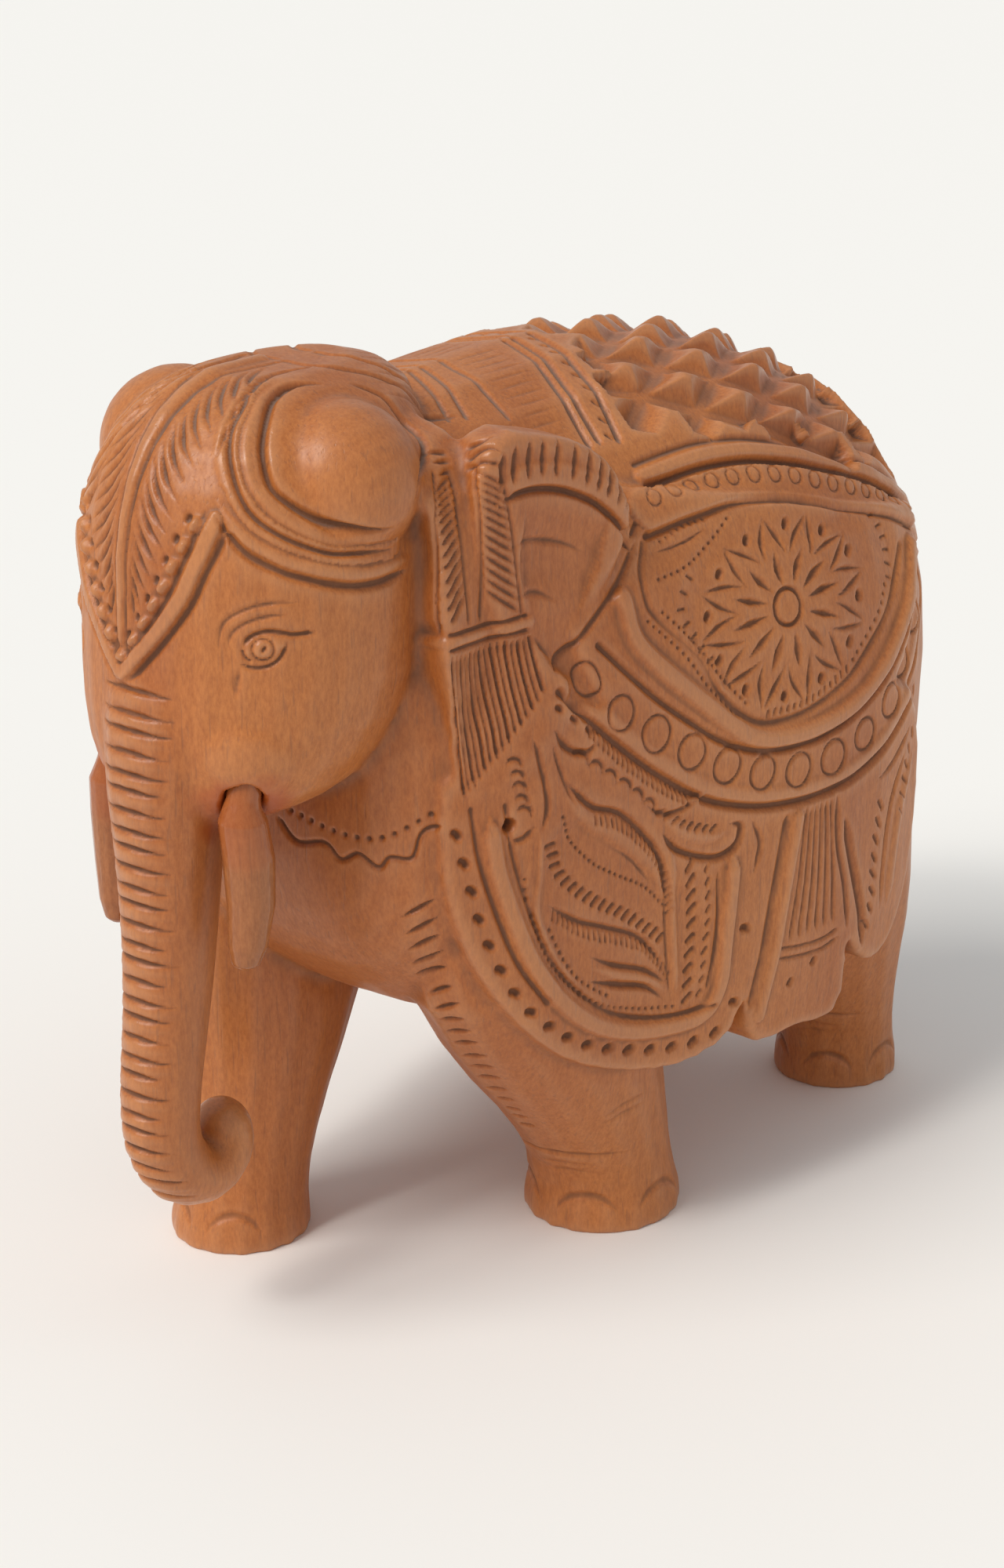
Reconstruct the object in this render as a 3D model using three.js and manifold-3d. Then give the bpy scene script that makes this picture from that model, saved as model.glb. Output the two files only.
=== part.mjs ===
// Carved wooden elephant: one carved block of hardwood with two separately whittled tusks glued into it.
// Millimetres, +Z up. The elephant faces -Y and its left side is +X. It stands on four flat soles at Z = 0.

import * as THREE from 'three';
import { LoftGeometry } from 'three/addons/geometries/LoftGeometry.js';
import { mergeVertices } from 'three/addons/utils/BufferGeometryUtils.js';
import Module from 'manifold-3d';

// Driving dimensions.
const blockWidth = 77; // over the flanks
const blockLength = 150; // from the trunk to the tail
const blockHeight = 128.5; // from the soles to the crown
const clothThickness = 1.3; // how far the carved cloths stand proud of the body
const hangingDepth = 13; // how far in from the flank the cloths stay solid where they hang below the belly
const strapThickness = 1.6; // how far the head straps and tassels stand proud of the cheek
const earThickness = 7; // from the ear's face to its back, which is buried in the neck
const earEdge = 1; // easing of the ear's edges
const tuskDiameter = 6.6; // at the thickest part of the tusk
const tuskTipDiameter = 3.6;
const tuskShowing = 21; // from the lip to the tip
const tuskBow = { outwards: 0.5, back: 0.9 }; // how far the middle of a tusk stands from a straight line
const tenonDiameter = 4.4;
const tenonLength = 8;
const tenonLean = 0.3; // how far the tenon leans back for each millimetre up
const glueGap = 0.3; // all round the tusk in its socket, and above the tenon

// Places on the carving, in the frame that its profiles are drawn in (before it is fitted to the block).
const beltLine = 72; // height of the body's widest line
const drapeDrop = 30; // how far below the belly the cloths' hanging surface is carried
// Where the tusks start.
const lips = { left: { x: 12.2, y: -64.4, z: 77.5 }, right: { x: -11, y: -63.8, z: 77.5 } };
const lipSwelling = { inwards: 3.6, back: 5.6, up: 7.6, radius: 9.4 }; // the rounded wood over each tusk
const dome = { x: 13.8, y: -47.2, z: 115.9, radius: 10.2 }; // one knob on each side of the forehead
const earRoot = { x: 26.6, y: -35 };
const earSpread = 0.15; // radians that the ear opens away from the flank
const soleThickness = 2.5;
// The neck between the cheeks and the ears.
const collarStretch = { front: -47, back: -21, halfWidth: 26, rise: 50 };

// How finely the curved forms are divided.
const ringSides = 28;
const limbSides = 16;
const outlineStep = 3.5;

// Body, along Y: y, half width, top, bottom.
const torsoStations = [
  [-47.5, 9, 88, 64],
  [-46, 17, 100, 56],
  [-42, 22.5, 110, 48],
  [-34, 26.5, 117.5, 41],
  [-25, 29.5, 121.8, 37.5],
  [-5, 33, 123, 34],
  [15, 36, 123, 33],
  [35, 37.2, 120.3, 33],
  [50, 34.8, 115.4, 36],
  [61, 29.4, 108, 43.5],
  [68, 21.8, 98, 54],
  [72, 13, 88, 63],
  [73.5, 5, 81, 70],
];

// Head, upwards: z, middle y, half width, reach forwards, reach backwards.
const headStations = [
  [73.5, -57, 7, 6, 9],
  [75.5, -56, 12.5, 11, 14],
  [79, -54, 17, 15, 19],
  [85, -51, 20, 18.8, 22],
  [92, -49, 21.4, 20.8, 24],
  [100, -48, 21.8, 21.4, 25],
  [108, -48, 21.6, 21.2, 25],
  [115, -48, 19.8, 19.6, 25],
  [121, -48, 17, 16.4, 24],
  [125.5, -47.5, 12.6, 12, 22],
  [128, -46.5, 7, 6.5, 14],
];

// Trunk, downwards: y, z, half width, half depth.
const trunkStations = [
  [-57, 97, 12, 10],
  [-61.5, 89, 10.5, 9.5],
  [-64.2, 80, 8.4, 8.2],
  [-65, 70, 7, 7],
  [-65.4, 60, 6.2, 6.3],
  [-66.4, 49, 5.6, 5.7],
  [-68, 38, 5.2, 5.3],
  [-68, 30.5, 5, 5],
  [-65, 25.2, 4.9, 4.7],
  [-60.5, 23.8, 4.8, 4.5],
  [-57.4, 26.6, 4.6, 4.2],
  [-57.6, 30, 3.8, 3.4],
  [-58.2, 31.8, 1.8, 1.6],
];

// Legs, upwards: z, middle x, middle y, half width, half depth.
const frontLeftLeg = [
  [soleThickness, 17, 2, 11, 11.4],
  [8.5, 17, 1.2, 10.1, 10.6],
  [18, 17.5, -3, 10.6, 13],
  [30, 18, -9.5, 11.6, 17.5],
  [45, 18.5, -16, 12, 21.5],
  [64, 17, -20, 11, 20],
];
const frontRightLeg = [
  [soleThickness, -17.3, -36.8, 9.7, 9.9],
  [8.5, -17, -36, 8.9, 9.3],
  [18, -17, -34.3, 9.6, 11],
  [30, -17, -31.5, 11, 14],
  [45, -17.5, -28, 12, 17.5],
  [64, -17, -25, 11, 18],
];
const hindLeftLeg = [
  [soleThickness, 16.5, 61, 9.4, 9.6],
  [8.5, 17, 60.2, 8.7, 9],
  [18, 18, 57.5, 9.6, 10.6],
  [30, 19, 53.5, 11.8, 14],
  [45, 20, 49, 13, 16],
  [64, 19, 46, 12, 18],
];
const hindRightLeg = [
  [soleThickness, -17, 46, 9.4, 9.6],
  [8.5, -17, 46, 8.7, 9],
  [18, -18, 47, 9.6, 10.6],
  [30, -19, 48, 11.8, 14],
  [45, -20, 48, 13, 18],
  [64, -19, 46, 12, 19],
];

// Tail, downwards: y, z, half width, half depth.
const tailStations = [
  [62, 102, 2.6, 2.6],
  [69, 94, 2.8, 2.8],
  [73.4, 82, 2.6, 2.8],
  [73.8, 68, 2.3, 2.6],
  [72, 54, 2.6, 2.6],
  [68.5, 42, 3.6, 2.6],
  [65.5, 33, 1.6, 1.6],
];

// Outlines on the side of the animal: points (y, z), joined by a smooth closed curve.
const shoulderCloth = [
  [-41, 76], [-40.5, 64], [-37.5, 54], [-32, 44], [-23, 35], [-12, 29.5], [0, 27.2], [8, 29.5],
  [10.5, 40], [10.5, 56], [9, 70], [-8, 78], [-26, 84],
];
const hangingTassel = [
  [9.6, 70], [10, 48], [13, 26.3], [22, 25.5], [31.5, 25], [31.6, 40], [31, 56], [29, 70],
];
const thighCloth = [
  [28, 66], [30, 48], [34, 34], [41, 30], [47, 33.5], [50.5, 43], [52, 56], [49, 67], [41, 72],
];
const earOutline = [
  [0, 117], [3, 120.6], [10, 119.6], [17, 117.2], [22, 113.6], [24.8, 108.5], [24.3, 102.5], [21, 97.4],
  [16.5, 93.2], [10.5, 88.4], [5.5, 91], [1, 98], [-1, 108],
];
const tasselStrap = [
  [-41.5, 119], [-37.5, 122.5], [-32.5, 121], [-32, 108], [-30, 96.5], [-40.5, 96.5], [-41.3, 108],
];
const tasselSkirt = [[-40.6, 98], [-39.6, 86], [-37, 74], [-29, 77.5], [-22, 85], [-26.5, 92], [-29.5, 98]];
// A half-round flap that hangs below its straight top.
const saddle = { y: 17, z: 103, length: 38.5, drop: 41, tilt: -0.24 };

const wasm = await Module();
wasm.setup();

// A closed geometry as a solid that can be joined and cut.
function solid(geometry) {
  const bare = new THREE.BufferGeometry().setAttribute('position', geometry.attributes.position);
  const merged = mergeVertices(bare.setIndex(geometry.index), 1e-4);
  return new wasm.Manifold(new wasm.Mesh({
    numProp: 3,
    vertProperties: new Float32Array(merged.attributes.position.array),
    triVerts: new Uint32Array(merged.index.array),
  }));
}

function geometryOf(manifold) {
  const mesh = manifold.getMesh();
  const geometry = new THREE.BufferGeometry();
  geometry.setAttribute('position', new THREE.BufferAttribute(new Float32Array(mesh.vertProperties), 3));
  geometry.setIndex(new THREE.BufferAttribute(new Uint32Array(mesh.triVerts), 1));
  return geometry;
}

const joined = (solids) => solids.reduce((whole, piece) => whole.add(piece));

// The stations of a form, with more of them blended in between.
function blended(stations, count) {
  const knots = stations.map((station, index) => index);
  const curve = new THREE.CubicInterpolant(knots, stations.flat(), stations[0].length);
  const spacing = (stations.length - 1) / (count - 1);
  return Array.from({ length: count }, (_, index) => Array.from(curve.evaluate(index * spacing)));
}

// Points round a closed curve; place(right, up) turns each direction into a point.
function ring(sides, place) {
  return Array.from({ length: sides }, (_, index) => {
    const angle = (index / sides) * 2 * Math.PI;
    return place(Math.cos(angle), Math.sin(angle));
  });
}

// A direction cosine of a circle, pushed towards the corner of a square as fullness grows past 2.
const fuller = (value, fullness) => Math.sign(value) * Math.abs(value) ** (2 / fullness);

function loft(rings) {
  return solid(new LoftGeometry(rings, { closed: true, capStart: true, capEnd: true }));
}

// The body, or a copy of it that is thicker by `extra` and whose flanks carry on down below the belly.
function torso(extra, hanging) {
  const rings = blended(torsoStations, 26).map(([y, halfWidth, top, bottom]) => {
    const width = halfWidth + extra;
    const rise = top + extra - beltLine;
    const drop = beltLine - bottom + hanging;
    const flank = hanging ? 4 : 3.2;
    return ring(ringSides, (right, up) => {
      const fullness = up > 0 ? 2.15 : flank;
      const z = beltLine + fuller(up, fullness) * (up > 0 ? rise : drop);
      return new THREE.Vector3(-fuller(right, fullness) * width, y, z);
    });
  });
  return loft(rings);
}

function head() {
  return loft(blended(headStations, 16).map(([z, y, halfWidth, forwards, backwards]) =>
    ring(ringSides, (right, back) => {
      const reach = back > 0 ? backwards : forwards;
      return new THREE.Vector3(fuller(right, 2.15) * halfWidth, y + fuller(back, 2.15) * reach, z);
    })));
}

// A round form that follows its stations (x, y, z, half width, half depth), with its sections
// square to the path.
function limb(stations, count) {
  const rows = blended(stations, count);
  const middles = rows.map(([x, y, z]) => new THREE.Vector3(x, y, z));
  const rings = rows.map(([, , , halfWidth, halfDepth], index) => {
    const before = middles[Math.max(index - 1, 0)];
    const after = middles[Math.min(index + 1, count - 1)];
    const along = after.clone().sub(before).normalize();
    const depth = along.clone().cross(new THREE.Vector3(1, 0, 0)).normalize();
    const width = depth.clone().cross(along);
    return ring(limbSides, (right, up) => middles[index].clone()
      .addScaledVector(width, right * halfWidth)
      .addScaledVector(depth, up * halfDepth));
  });
  return loft(rings);
}

const inMidPlane = (stations) => stations.map(([y, z, ...sizes]) => [0, y, z, ...sizes]);

// A leg has level sections, and its lowest one is carried straight down to a flat sole.
function leg(stations) {
  const [, ...foot] = stations[0];
  const rows = [[0, ...foot], ...blended(stations, 10)];
  return loft(rows.map(([z, x, y, halfWidth, halfDepth]) =>
    ring(limbSides, (right, back) => new THREE.Vector3(x + right * halfWidth, y + back * halfDepth, z))));
}

function ball(x, y, z, radius) {
  return solid(new THREE.SphereGeometry(radius, 20, 12).translate(x, y, z));
}

// A smooth outline as a shape.
function smoothShape(points) {
  const corners = points.map(([a, b]) => new THREE.Vector3(a, b, 0));
  const curve = new THREE.CatmullRomCurve3(corners, true, 'centripetal');
  return new THREE.Shape(curve.getSpacedPoints(Math.round(curve.getLength() / outlineStep)));
}

// Turns a shape's own right, up and outward directions into the animal's +Y, +Z and +X.
const acrossFlank = new THREE.Matrix4().makeBasis(
  new THREE.Vector3(0, 1, 0), new THREE.Vector3(0, 0, 1), new THREE.Vector3(1, 0, 0));

// An outline on the side of the animal, carried across from x = inner to x = outer.
function slab(shape, inner, outer) {
  const geometry = new THREE.ExtrudeGeometry(shape, { depth: outer - inner, bevelEnabled: false });
  return solid(geometry.applyMatrix4(acrossFlank).translate(inner, 0, 0));
}

// The same slab on both sides of the animal.
function slabPair(shape, inner, outer) {
  return slab(shape, inner, outer).add(slab(shape, -outer, -inner));
}

function saddleShape() {
  const flap = new THREE.Shape();
  flap.absellipse(0, 0, saddle.length, saddle.drop, Math.PI, 2 * Math.PI, false, 0);
  const turned = flap.getPoints(24).map((point) => point.rotateAround(new THREE.Vector2(), saddle.tilt));
  return new THREE.Shape(turned.map((point) => point.add(new THREE.Vector2(saddle.y, saddle.z))));
}

// Cloths follow the flank, one thickness proud of it, and hang straight down past the belly.
function cloths() {
  const beyondFlank = blockWidth;
  const drape = torso(clothThickness, drapeDrop);
  const inner = blockWidth / 2 - clothThickness - hangingDepth;
  const hanging = joined([shoulderCloth, hangingTassel, thighCloth]
    .map((outline) => slabPair(smoothShape(outline), inner, beyondFlank)));
  return hanging.add(slabPair(saddleShape(), inner, beyondFlank)).intersect(drape);
}

// A tassel hangs in front of each ear, from the crown to the jaw.
function tassels() {
  const inner = collarStretch.halfWidth / 2;
  return joined([tasselStrap, tasselSkirt]
    .map((outline) => slabPair(smoothShape(outline), inner, blockWidth)))
    .intersect(torso(strapThickness, 0).add(collar()));
}

// The round-shouldered stretch of neck that the tassels are cut from.
function collar() {
  const rings = [collarStretch.front, collarStretch.back].map((y) => ring(ringSides, (right, up) =>
    new THREE.Vector3(-fuller(right, 5) * collarStretch.halfWidth, y,
      beltLine + fuller(up, 5) * collarStretch.rise)));
  return loft(rings);
}

// An ear stands open from its root, with its edges eased, and its back buried in the neck.
function ear(side) {
  const geometry = new THREE.ExtrudeGeometry(smoothShape(earOutline), {
    depth: earThickness - 2 * earEdge, bevelEnabled: true, bevelSegments: 1,
    bevelThickness: earEdge, bevelSize: earEdge, bevelOffset: -earEdge,
  });
  const inwards = side > 0 ? earEdge - earThickness : earEdge;
  geometry.applyMatrix4(acrossFlank).translate(inwards, 0, 0);
  geometry.rotateZ(-side * earSpread).translate(side * earRoot.x, earRoot.y, 0);
  return solid(geometry);
}

function elephantForm() {
  const legs = [frontLeftLeg, frontRightLeg, hindLeftLeg, hindRightLeg].map(leg);
  const bumps = [-1, 1].flatMap((side) => [ball(side * dome.x, dome.y, dome.z, dome.radius), ear(side)]);
  const swellings = Object.values(lips).map(({ x, y, z }) => ball(
    x - Math.sign(x) * lipSwelling.inwards, y + lipSwelling.back, z + lipSwelling.up, lipSwelling.radius));
  const trunk = limb(inMidPlane(trunkStations), 27);
  const tail = limb(inMidPlane(tailStations), 14);
  return joined([torso(0, 0), head(), trunk, tail, ...legs, ...bumps, ...swellings, cloths(), tassels()]);
}

// Stretches the carving, drawn near its size, to fill the block exactly, centred over its middle.
function fittingTo(manifold) {
  const box = new THREE.Box3().setFromBufferAttribute(geometryOf(manifold).attributes.position);
  const drawn = box.getSize(new THREE.Vector3());
  const middle = box.getCenter(new THREE.Vector3()).setZ(box.min.z);
  const stretch = new THREE.Vector3(blockWidth, blockLength, blockHeight).divide(drawn);
  return new THREE.Matrix4().makeScale(stretch.x, stretch.y, stretch.z)
    .multiply(new THREE.Matrix4().makeTranslation(-middle.x, -middle.y, -middle.z));
}

// A tusk, or with a gap the room that it needs: tenon, rounded shoulder, belly and tip, from the top down.
function tusk(place, gap) {
  const thick = tuskDiameter / 2;
  const tip = tuskTipDiameter / 2;
  const down = [
    [-tenonLength - gap, tenonDiameter / 2],
    [-1.6, tenonDiameter / 2],
    [-0.6, thick - 0.9],
    [1.2, thick - 0.2],
    [tuskShowing * 0.3, thick],
    [tuskShowing * 0.6, thick * 0.93],
    [tuskShowing * 0.85, (thick + tip) / 2],
    [tuskShowing - tip * 0.4, tip],
    [tuskShowing, tip * 0.45],
  ];
  const rings = down.map(([distance, radius]) => {
    const lean = Math.sin((Math.max(distance, 0) / tuskShowing) * Math.PI);
    const middle = new THREE.Vector3(
      place.x + Math.sign(place.x) * tuskBow.outwards * lean,
      place.y + tuskBow.back * lean + tenonLean * Math.max(-distance, 0),
      place.z - distance);
    return ring(limbSides, (right, up) => new THREE.Vector3(
      middle.x + right * (radius + gap), middle.y - up * (radius + gap), middle.z));
  });
  return loft(rings);
}

function material(colour, roughness) {
  return new THREE.MeshStandardMaterial({ color: colour, roughness, metalness: 0 });
}

function piece(name, manifold, finish) {
  const mesh = new THREE.Mesh(geometryOf(manifold), finish);
  mesh.name = name;
  return mesh;
}

const form = elephantForm();
const fit = fittingTo(form);
const fitted = form.transform(fit.elements);
const roots = Object.entries(lips).map(([side, { x, y, z }]) => (
  { name: `tusk_${side}`, place: new THREE.Vector3(x, y, z).applyMatrix4(fit) }));
const block = roots.reduce((whole, { place }) => whole.subtract(tusk(place, glueGap)), fitted);

const elephant = new THREE.Group();
elephant.add(piece('carved_block', block, material(0xb07048, 0.5)));
for (const { name, place } of roots) {
  elephant.add(piece(name, tusk(place, 0), material(0xb06a52, 0.35)));
}

export default elephant;
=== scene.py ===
import math
from functools import partial

import bmesh
import bpy
import numpy as np
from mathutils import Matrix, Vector
from mathutils.bvhtree import BVHTree
from mathutils.kdtree import KDTree


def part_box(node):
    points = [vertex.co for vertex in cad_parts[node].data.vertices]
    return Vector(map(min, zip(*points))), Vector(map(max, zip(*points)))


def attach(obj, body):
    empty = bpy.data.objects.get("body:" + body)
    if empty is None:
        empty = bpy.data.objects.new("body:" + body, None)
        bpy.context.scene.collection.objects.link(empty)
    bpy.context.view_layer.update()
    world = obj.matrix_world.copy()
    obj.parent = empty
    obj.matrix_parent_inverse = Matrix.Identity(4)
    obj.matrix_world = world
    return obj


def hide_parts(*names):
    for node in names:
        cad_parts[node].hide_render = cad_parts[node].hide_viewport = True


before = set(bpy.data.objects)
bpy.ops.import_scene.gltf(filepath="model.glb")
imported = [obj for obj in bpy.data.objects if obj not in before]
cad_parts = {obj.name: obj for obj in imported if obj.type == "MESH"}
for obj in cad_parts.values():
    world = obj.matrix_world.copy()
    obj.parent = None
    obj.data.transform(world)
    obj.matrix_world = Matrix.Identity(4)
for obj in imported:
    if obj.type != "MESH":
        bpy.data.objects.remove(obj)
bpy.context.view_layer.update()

MM = 0.001

# The form: how finely the block is worked before and during carving, in millimetres, and how it is cut
# into pieces, with the cutting slabs in metres.
ROUGH_GRID = 0.6
FINE_GRID = 0.29
TUSK_GRID = 0.22
CRISP_ROUNDS = 8
EASING_ROUNDS = 60
BLENDING_ROUNDS = 6
FINE_ROUNDS = 3
TUSK_ROUNDS = 12
FACET_DEPTH = 0.16
EDGE_DEPTH = 0.45
PIECE_TRIANGLES = 170000
SLAB_SPAN = 0.3
SLAB_HEIGHT = 0.06
SLAB_MARGIN = 0.01
SEAM_REACH = 1.5
FACING_ERROR = 0.02

# The carving, in millimetres and degrees. Layers are worked in this order; each number is how rounded
# the layer's strokes are.
LAYERS = {"broad": 0.9, "valleys": 0.45, "raised": 0.9, "grooves": 0.35, "fine": 0.3}
MARKS = {"dot": "fine", "pit": "fine", "hole": "grooves", "drill": "fine", "tick": "fine", "ring": "fine",
         "scallop": "fine", "bead": "raised"}
STROKE_STEP = 0.4
GUIDE_STEP = 0.5
LIFT_ROUNDS = 4
BODY_MIDDLE = 72
BONNET_MIDDLE = -2.4
HEAD_MIDDLE = (-49.6, 100)
TRUNK_WRINKLES = 28
STUD_PITCH = 16.2
STUD_LEAN = 0.642
NAIL_TURNS = (-38, 27, 92)
KNIFE_MARKS = 0.05
KNIFE_MARK_SIZE = 5.0
HOLLOW_ROUNDS = 8
DEEP_ROUNDS = 30

# Finishes.
PALE_WOOD = (0.63, 0.228, 0.057)
WARM_WOOD = (0.47, 0.139, 0.030)
GRAIN_SHADE = (0.62, 0.5, 0.42)
DARK_PORES = (0.22, 0.08, 0.035)
# The colour of the cuts: partly the patina of the wood, partly painted shade.
PATINA_AND_PAINTED_SHADE = (0.12, 0.05, 0.026)
# The colour of what stands proud: partly wear from rubbing, partly a painted highlight.
POLISH_AND_PAINTED_HIGHLIGHT = (0.62, 0.31, 0.15)
DUST = (0.42, 0.33, 0.28)
GLUE_STAIN = (0.40, 0.07, 0.007)
TUSK_PALE = (0.46, 0.170, 0.055)
TUSK_WARM = (0.34, 0.112, 0.032)
SOCKET_DEPTH = 9

# The camera stands in front of the left shoulder, a little above the back.
VIEW_TURN = math.radians(40)
VIEW_RISE = math.radians(20.5)
VIEW_REACH = 0.48
VIEW_TARGET = Vector((0, -0.0016, 0.06))
LENS = 78.6
SENSOR = 36

# The studio.
FLOOR_REACH = 12.0
FLOOR_PAPER = (0.92, 0.897, 0.863, 1)
SKY = (0.935, 0.975, 1.0, 1)
SKY_STRENGTH = 0.55
LAMP_COLOUR = (1, 0.978, 0.935)


# ---------------------------------------------------------------- form

def applied(obj):
    """Turns an object's modifiers into plain mesh."""
    graph = bpy.context.evaluated_depsgraph_get()
    mesh = bpy.data.meshes.new_from_object(obj.evaluated_get(graph))
    rough = obj.data
    obj.modifiers.clear()
    obj.data = mesh
    bpy.data.meshes.remove(rough)
    return obj


def linked(name, mesh):
    obj = bpy.data.objects.new(name, mesh)
    bpy.context.collection.objects.link(obj)
    return obj


def merged_copy(node, name):
    """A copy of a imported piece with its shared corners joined."""
    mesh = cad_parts[node].data.copy()
    work = bmesh.new()
    work.from_mesh(mesh)
    bmesh.ops.remove_doubles(work, verts=work.verts, dist=1e-7)
    work.to_mesh(mesh)
    work.free()
    mesh.materials.clear()
    return linked(name, mesh)


def positions(mesh):
    flat = np.empty(len(mesh.vertices) * 3)
    mesh.vertices.foreach_get("co", flat)
    return flat.reshape(-1, 3)


def normals(mesh):
    flat = np.empty(len(mesh.vertices) * 3)
    mesh.vertices.foreach_get("normal", flat)
    return flat.reshape(-1, 3)


def neighbour_mean(mesh):
    """A function that gives every vertex the mean of its neighbours' values."""
    pairs = np.empty(len(mesh.edges) * 2, dtype=np.int64)
    mesh.edges.foreach_get("vertices", pairs)
    pairs = pairs.reshape(-1, 2)
    here = np.concatenate([pairs[:, 0], pairs[:, 1]])
    there = np.concatenate([pairs[:, 1], pairs[:, 0]])
    order = np.argsort(here, kind="stable")
    there = there[order]
    count = np.bincount(here, minlength=len(mesh.vertices))
    first = np.concatenate([[0], np.cumsum(count)[:-1]])
    return lambda values: (np.add.reduceat(values[there], first, axis=0).T / count).T


def eased(mesh, rounds):
    """Rounds off facets without shrinking the form: each round pulls in, then pushes out a little more."""
    mean = neighbour_mean(mesh)
    place = positions(mesh)
    for _ in range(rounds):
        for pull in (0.5, -0.53):
            place += pull * (mean(place) - place)
    mesh.vertices.foreach_set("co", place.ravel())
    mesh.update()


def regridded(obj, grid):
    remesh = obj.modifiers.new("grid", "REMESH")
    remesh.mode = "VOXEL"
    remesh.voxel_size = grid * MM
    return applied(obj)


def worked_form():
    """The block before the fine carving: facets are rounded off, and edges that were meant stay crisp."""
    form = regridded(merged_copy("carved_block", "carved_form"), ROUGH_GRID)
    mesh = form.data
    eased(mesh, CRISP_ROUNDS)
    crisp = positions(mesh)
    eased(mesh, EASING_ROUNDS)
    soft = positions(mesh)
    moved = np.linalg.norm(soft - crisp, axis=1) / MM
    mean = neighbour_mean(mesh)
    for _ in range(BLENDING_ROUNDS):
        moved = mean(moved)
    keep = np.clip((moved - FACET_DEPTH) / (EDGE_DEPTH - FACET_DEPTH), 0, 1)[:, None]
    mesh.vertices.foreach_set("co", (soft + (crisp - soft) * keep).ravel())
    mesh.update()
    regridded(form, FINE_GRID)
    eased(form.data, FINE_ROUNDS)
    return form


# ---------------------------------------------------------------- laying out the carving

class Surface:
    """The uncarved form, to lay lines on. Places are in millimetres; side -1 mirrors them to the right.

    Most lines are cast inward, from a start that is well outside the form.
    """

    def __init__(self, mesh):
        corners = [tuple(place) for place in positions(mesh) / MM]
        self.tree = BVHTree.FromPolygons(corners, [tuple(face.vertices) for face in mesh.polygons])

    def cast(self, start, way, side):
        hit = self.tree.ray_cast(Vector((start[0] * side, *start[1:])), Vector((way[0] * side, *way[1:])))
        return hit[0]

    def near(self, side, x, y, z):
        return self.tree.find_nearest(Vector((x * side, y, z)))[0]

    def flank(self, side, y, z):
        return self.cast((70, y, z), (-1, 0, 0), side)

    def back(self, side, y, turn):
        """Over the back, from the spine (turn 0) down the side, about the middle of the body."""
        way = Vector((math.sin(math.radians(turn)), 0, math.cos(math.radians(turn))))
        return self.cast(Vector((0, y, BODY_MIDDLE)) + way * 80, -way, side)

    def bonnet(self, side, x, rise):
        """Over the head, from the brow (rise 0) to the crown (rise 90)."""
        way = Vector((0, -math.cos(math.radians(rise)), math.sin(math.radians(rise))))
        middle = Vector((BONNET_MIDDLE + x * side, *HEAD_MIDDLE))
        return self.tree.ray_cast(middle + way * 60, -way)[0]

    def trunk(self, side, x, z):
        return self.cast((x, -120, z), (0, 1, 0), side)

    def foot(self, middle):
        """Round the foot over that middle, whichever side it is on: turn 0 looks forward, 90 to the left."""
        def around(side, turn, z):
            way = Vector((math.sin(math.radians(turn)), -math.cos(math.radians(turn)), 0))
            start = Vector((*middle, z)) + way * 16
            return self.tree.ray_cast(start, -way)[0]
        return around

    def badge(self, x, y, z):
        """A small flat drawing laid on the surface: across runs rearward, up runs up."""
        def laid(side, across, up):
            middle, out = self.tree.find_nearest(Vector((x * side, y, z)))[:2]
            right = Vector((-out.y, out.x, 0)).normalized() * side
            top = out.cross(right) * side
            return self.tree.find_nearest(middle + right * across + top * up)[0]
        return laid


def smooth_line(points, per_span=16):
    """Points along a curve that passes through the given ones."""
    ends = np.array(points, float)
    if len(ends) == 2:
        return ends[0] + (ends[1] - ends[0]) * np.linspace(0, 1, per_span)[:, None]
    padded = np.vstack([2 * ends[0] - ends[1], ends, 2 * ends[-1] - ends[-2]])
    t = np.linspace(0, 1, per_span, endpoint=False)[:, None]
    spans = []
    for a, b, c, d in zip(padded, padded[1:], padded[2:], padded[3:]):
        spans.append(0.5 * (2 * b + (c - a) * t + (2 * a - 5 * b + 4 * c - d) * t ** 2
                            + (3 * b - a - 3 * c + d) * t ** 3))
    return np.vstack([*spans, ends[-1:]])


def even_steps(line, step):
    lengths = np.linalg.norm(np.diff(line, axis=0), axis=1)
    run = np.concatenate([[0], np.cumsum(lengths)])
    count = max(2, int(run[-1] / step) + 1)
    at = np.linspace(0, run[-1], count)
    return np.stack([np.interp(at, run, line[:, axis]) for axis in range(3)], axis=1)


class Carving:
    """Strokes to cut, and guide lines for rows of marks, kept in layers that are worked one after another."""

    def __init__(self, surface):
        self.surface = surface
        self.strokes = {layer: [] for layer in LAYERS}
        self.guides = {mark: [] for mark in MARKS}

    def laid(self, chart, points, side):
        places = [chart(side, *point) for point in smooth_line(points)]
        return np.array([place for place in places if place is not None])

    def stroke(self, layer, chart, points, width, height, edge=1.0, taper=0.0, sides=(1, -1)):
        """One line: width is half the stroke, height is up (+) or down (-), edge is how much of it slopes."""
        for side in sides:
            line = self.laid(chart, points, side)
            if len(line) < 2:
                continue
            line = even_steps(line, STROKE_STEP)
            along = np.linspace(0, 1, len(line))
            full = np.ones(len(line))
            if taper:
                full = np.clip(np.minimum(along, 1 - along) / taper, 0.05, 1) ** 0.7
            self.strokes[layer].append((line, width * full, height * full, np.full(len(line), edge)))

    def row(self, mark, chart, points, spacing, size=1.0, turn=0.0, weight=1.0, sides=(1, -1)):
        """A row of one kind of mark along a line."""
        for side in sides:
            line = self.laid(chart, points, side)
            if len(line) > 1:
                self.guides[mark].append((even_steps(line, GUIDE_STEP), spacing, size, turn * side, weight))

    def spot(self, mark, chart, point, size=1.0, turn=0.0, weight=1.0, sides=(1, -1)):
        middle = np.array(point, float)
        self.row(mark, chart, [middle - 0.1, middle + 0.1], 9, size, turn, weight, sides)


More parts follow.
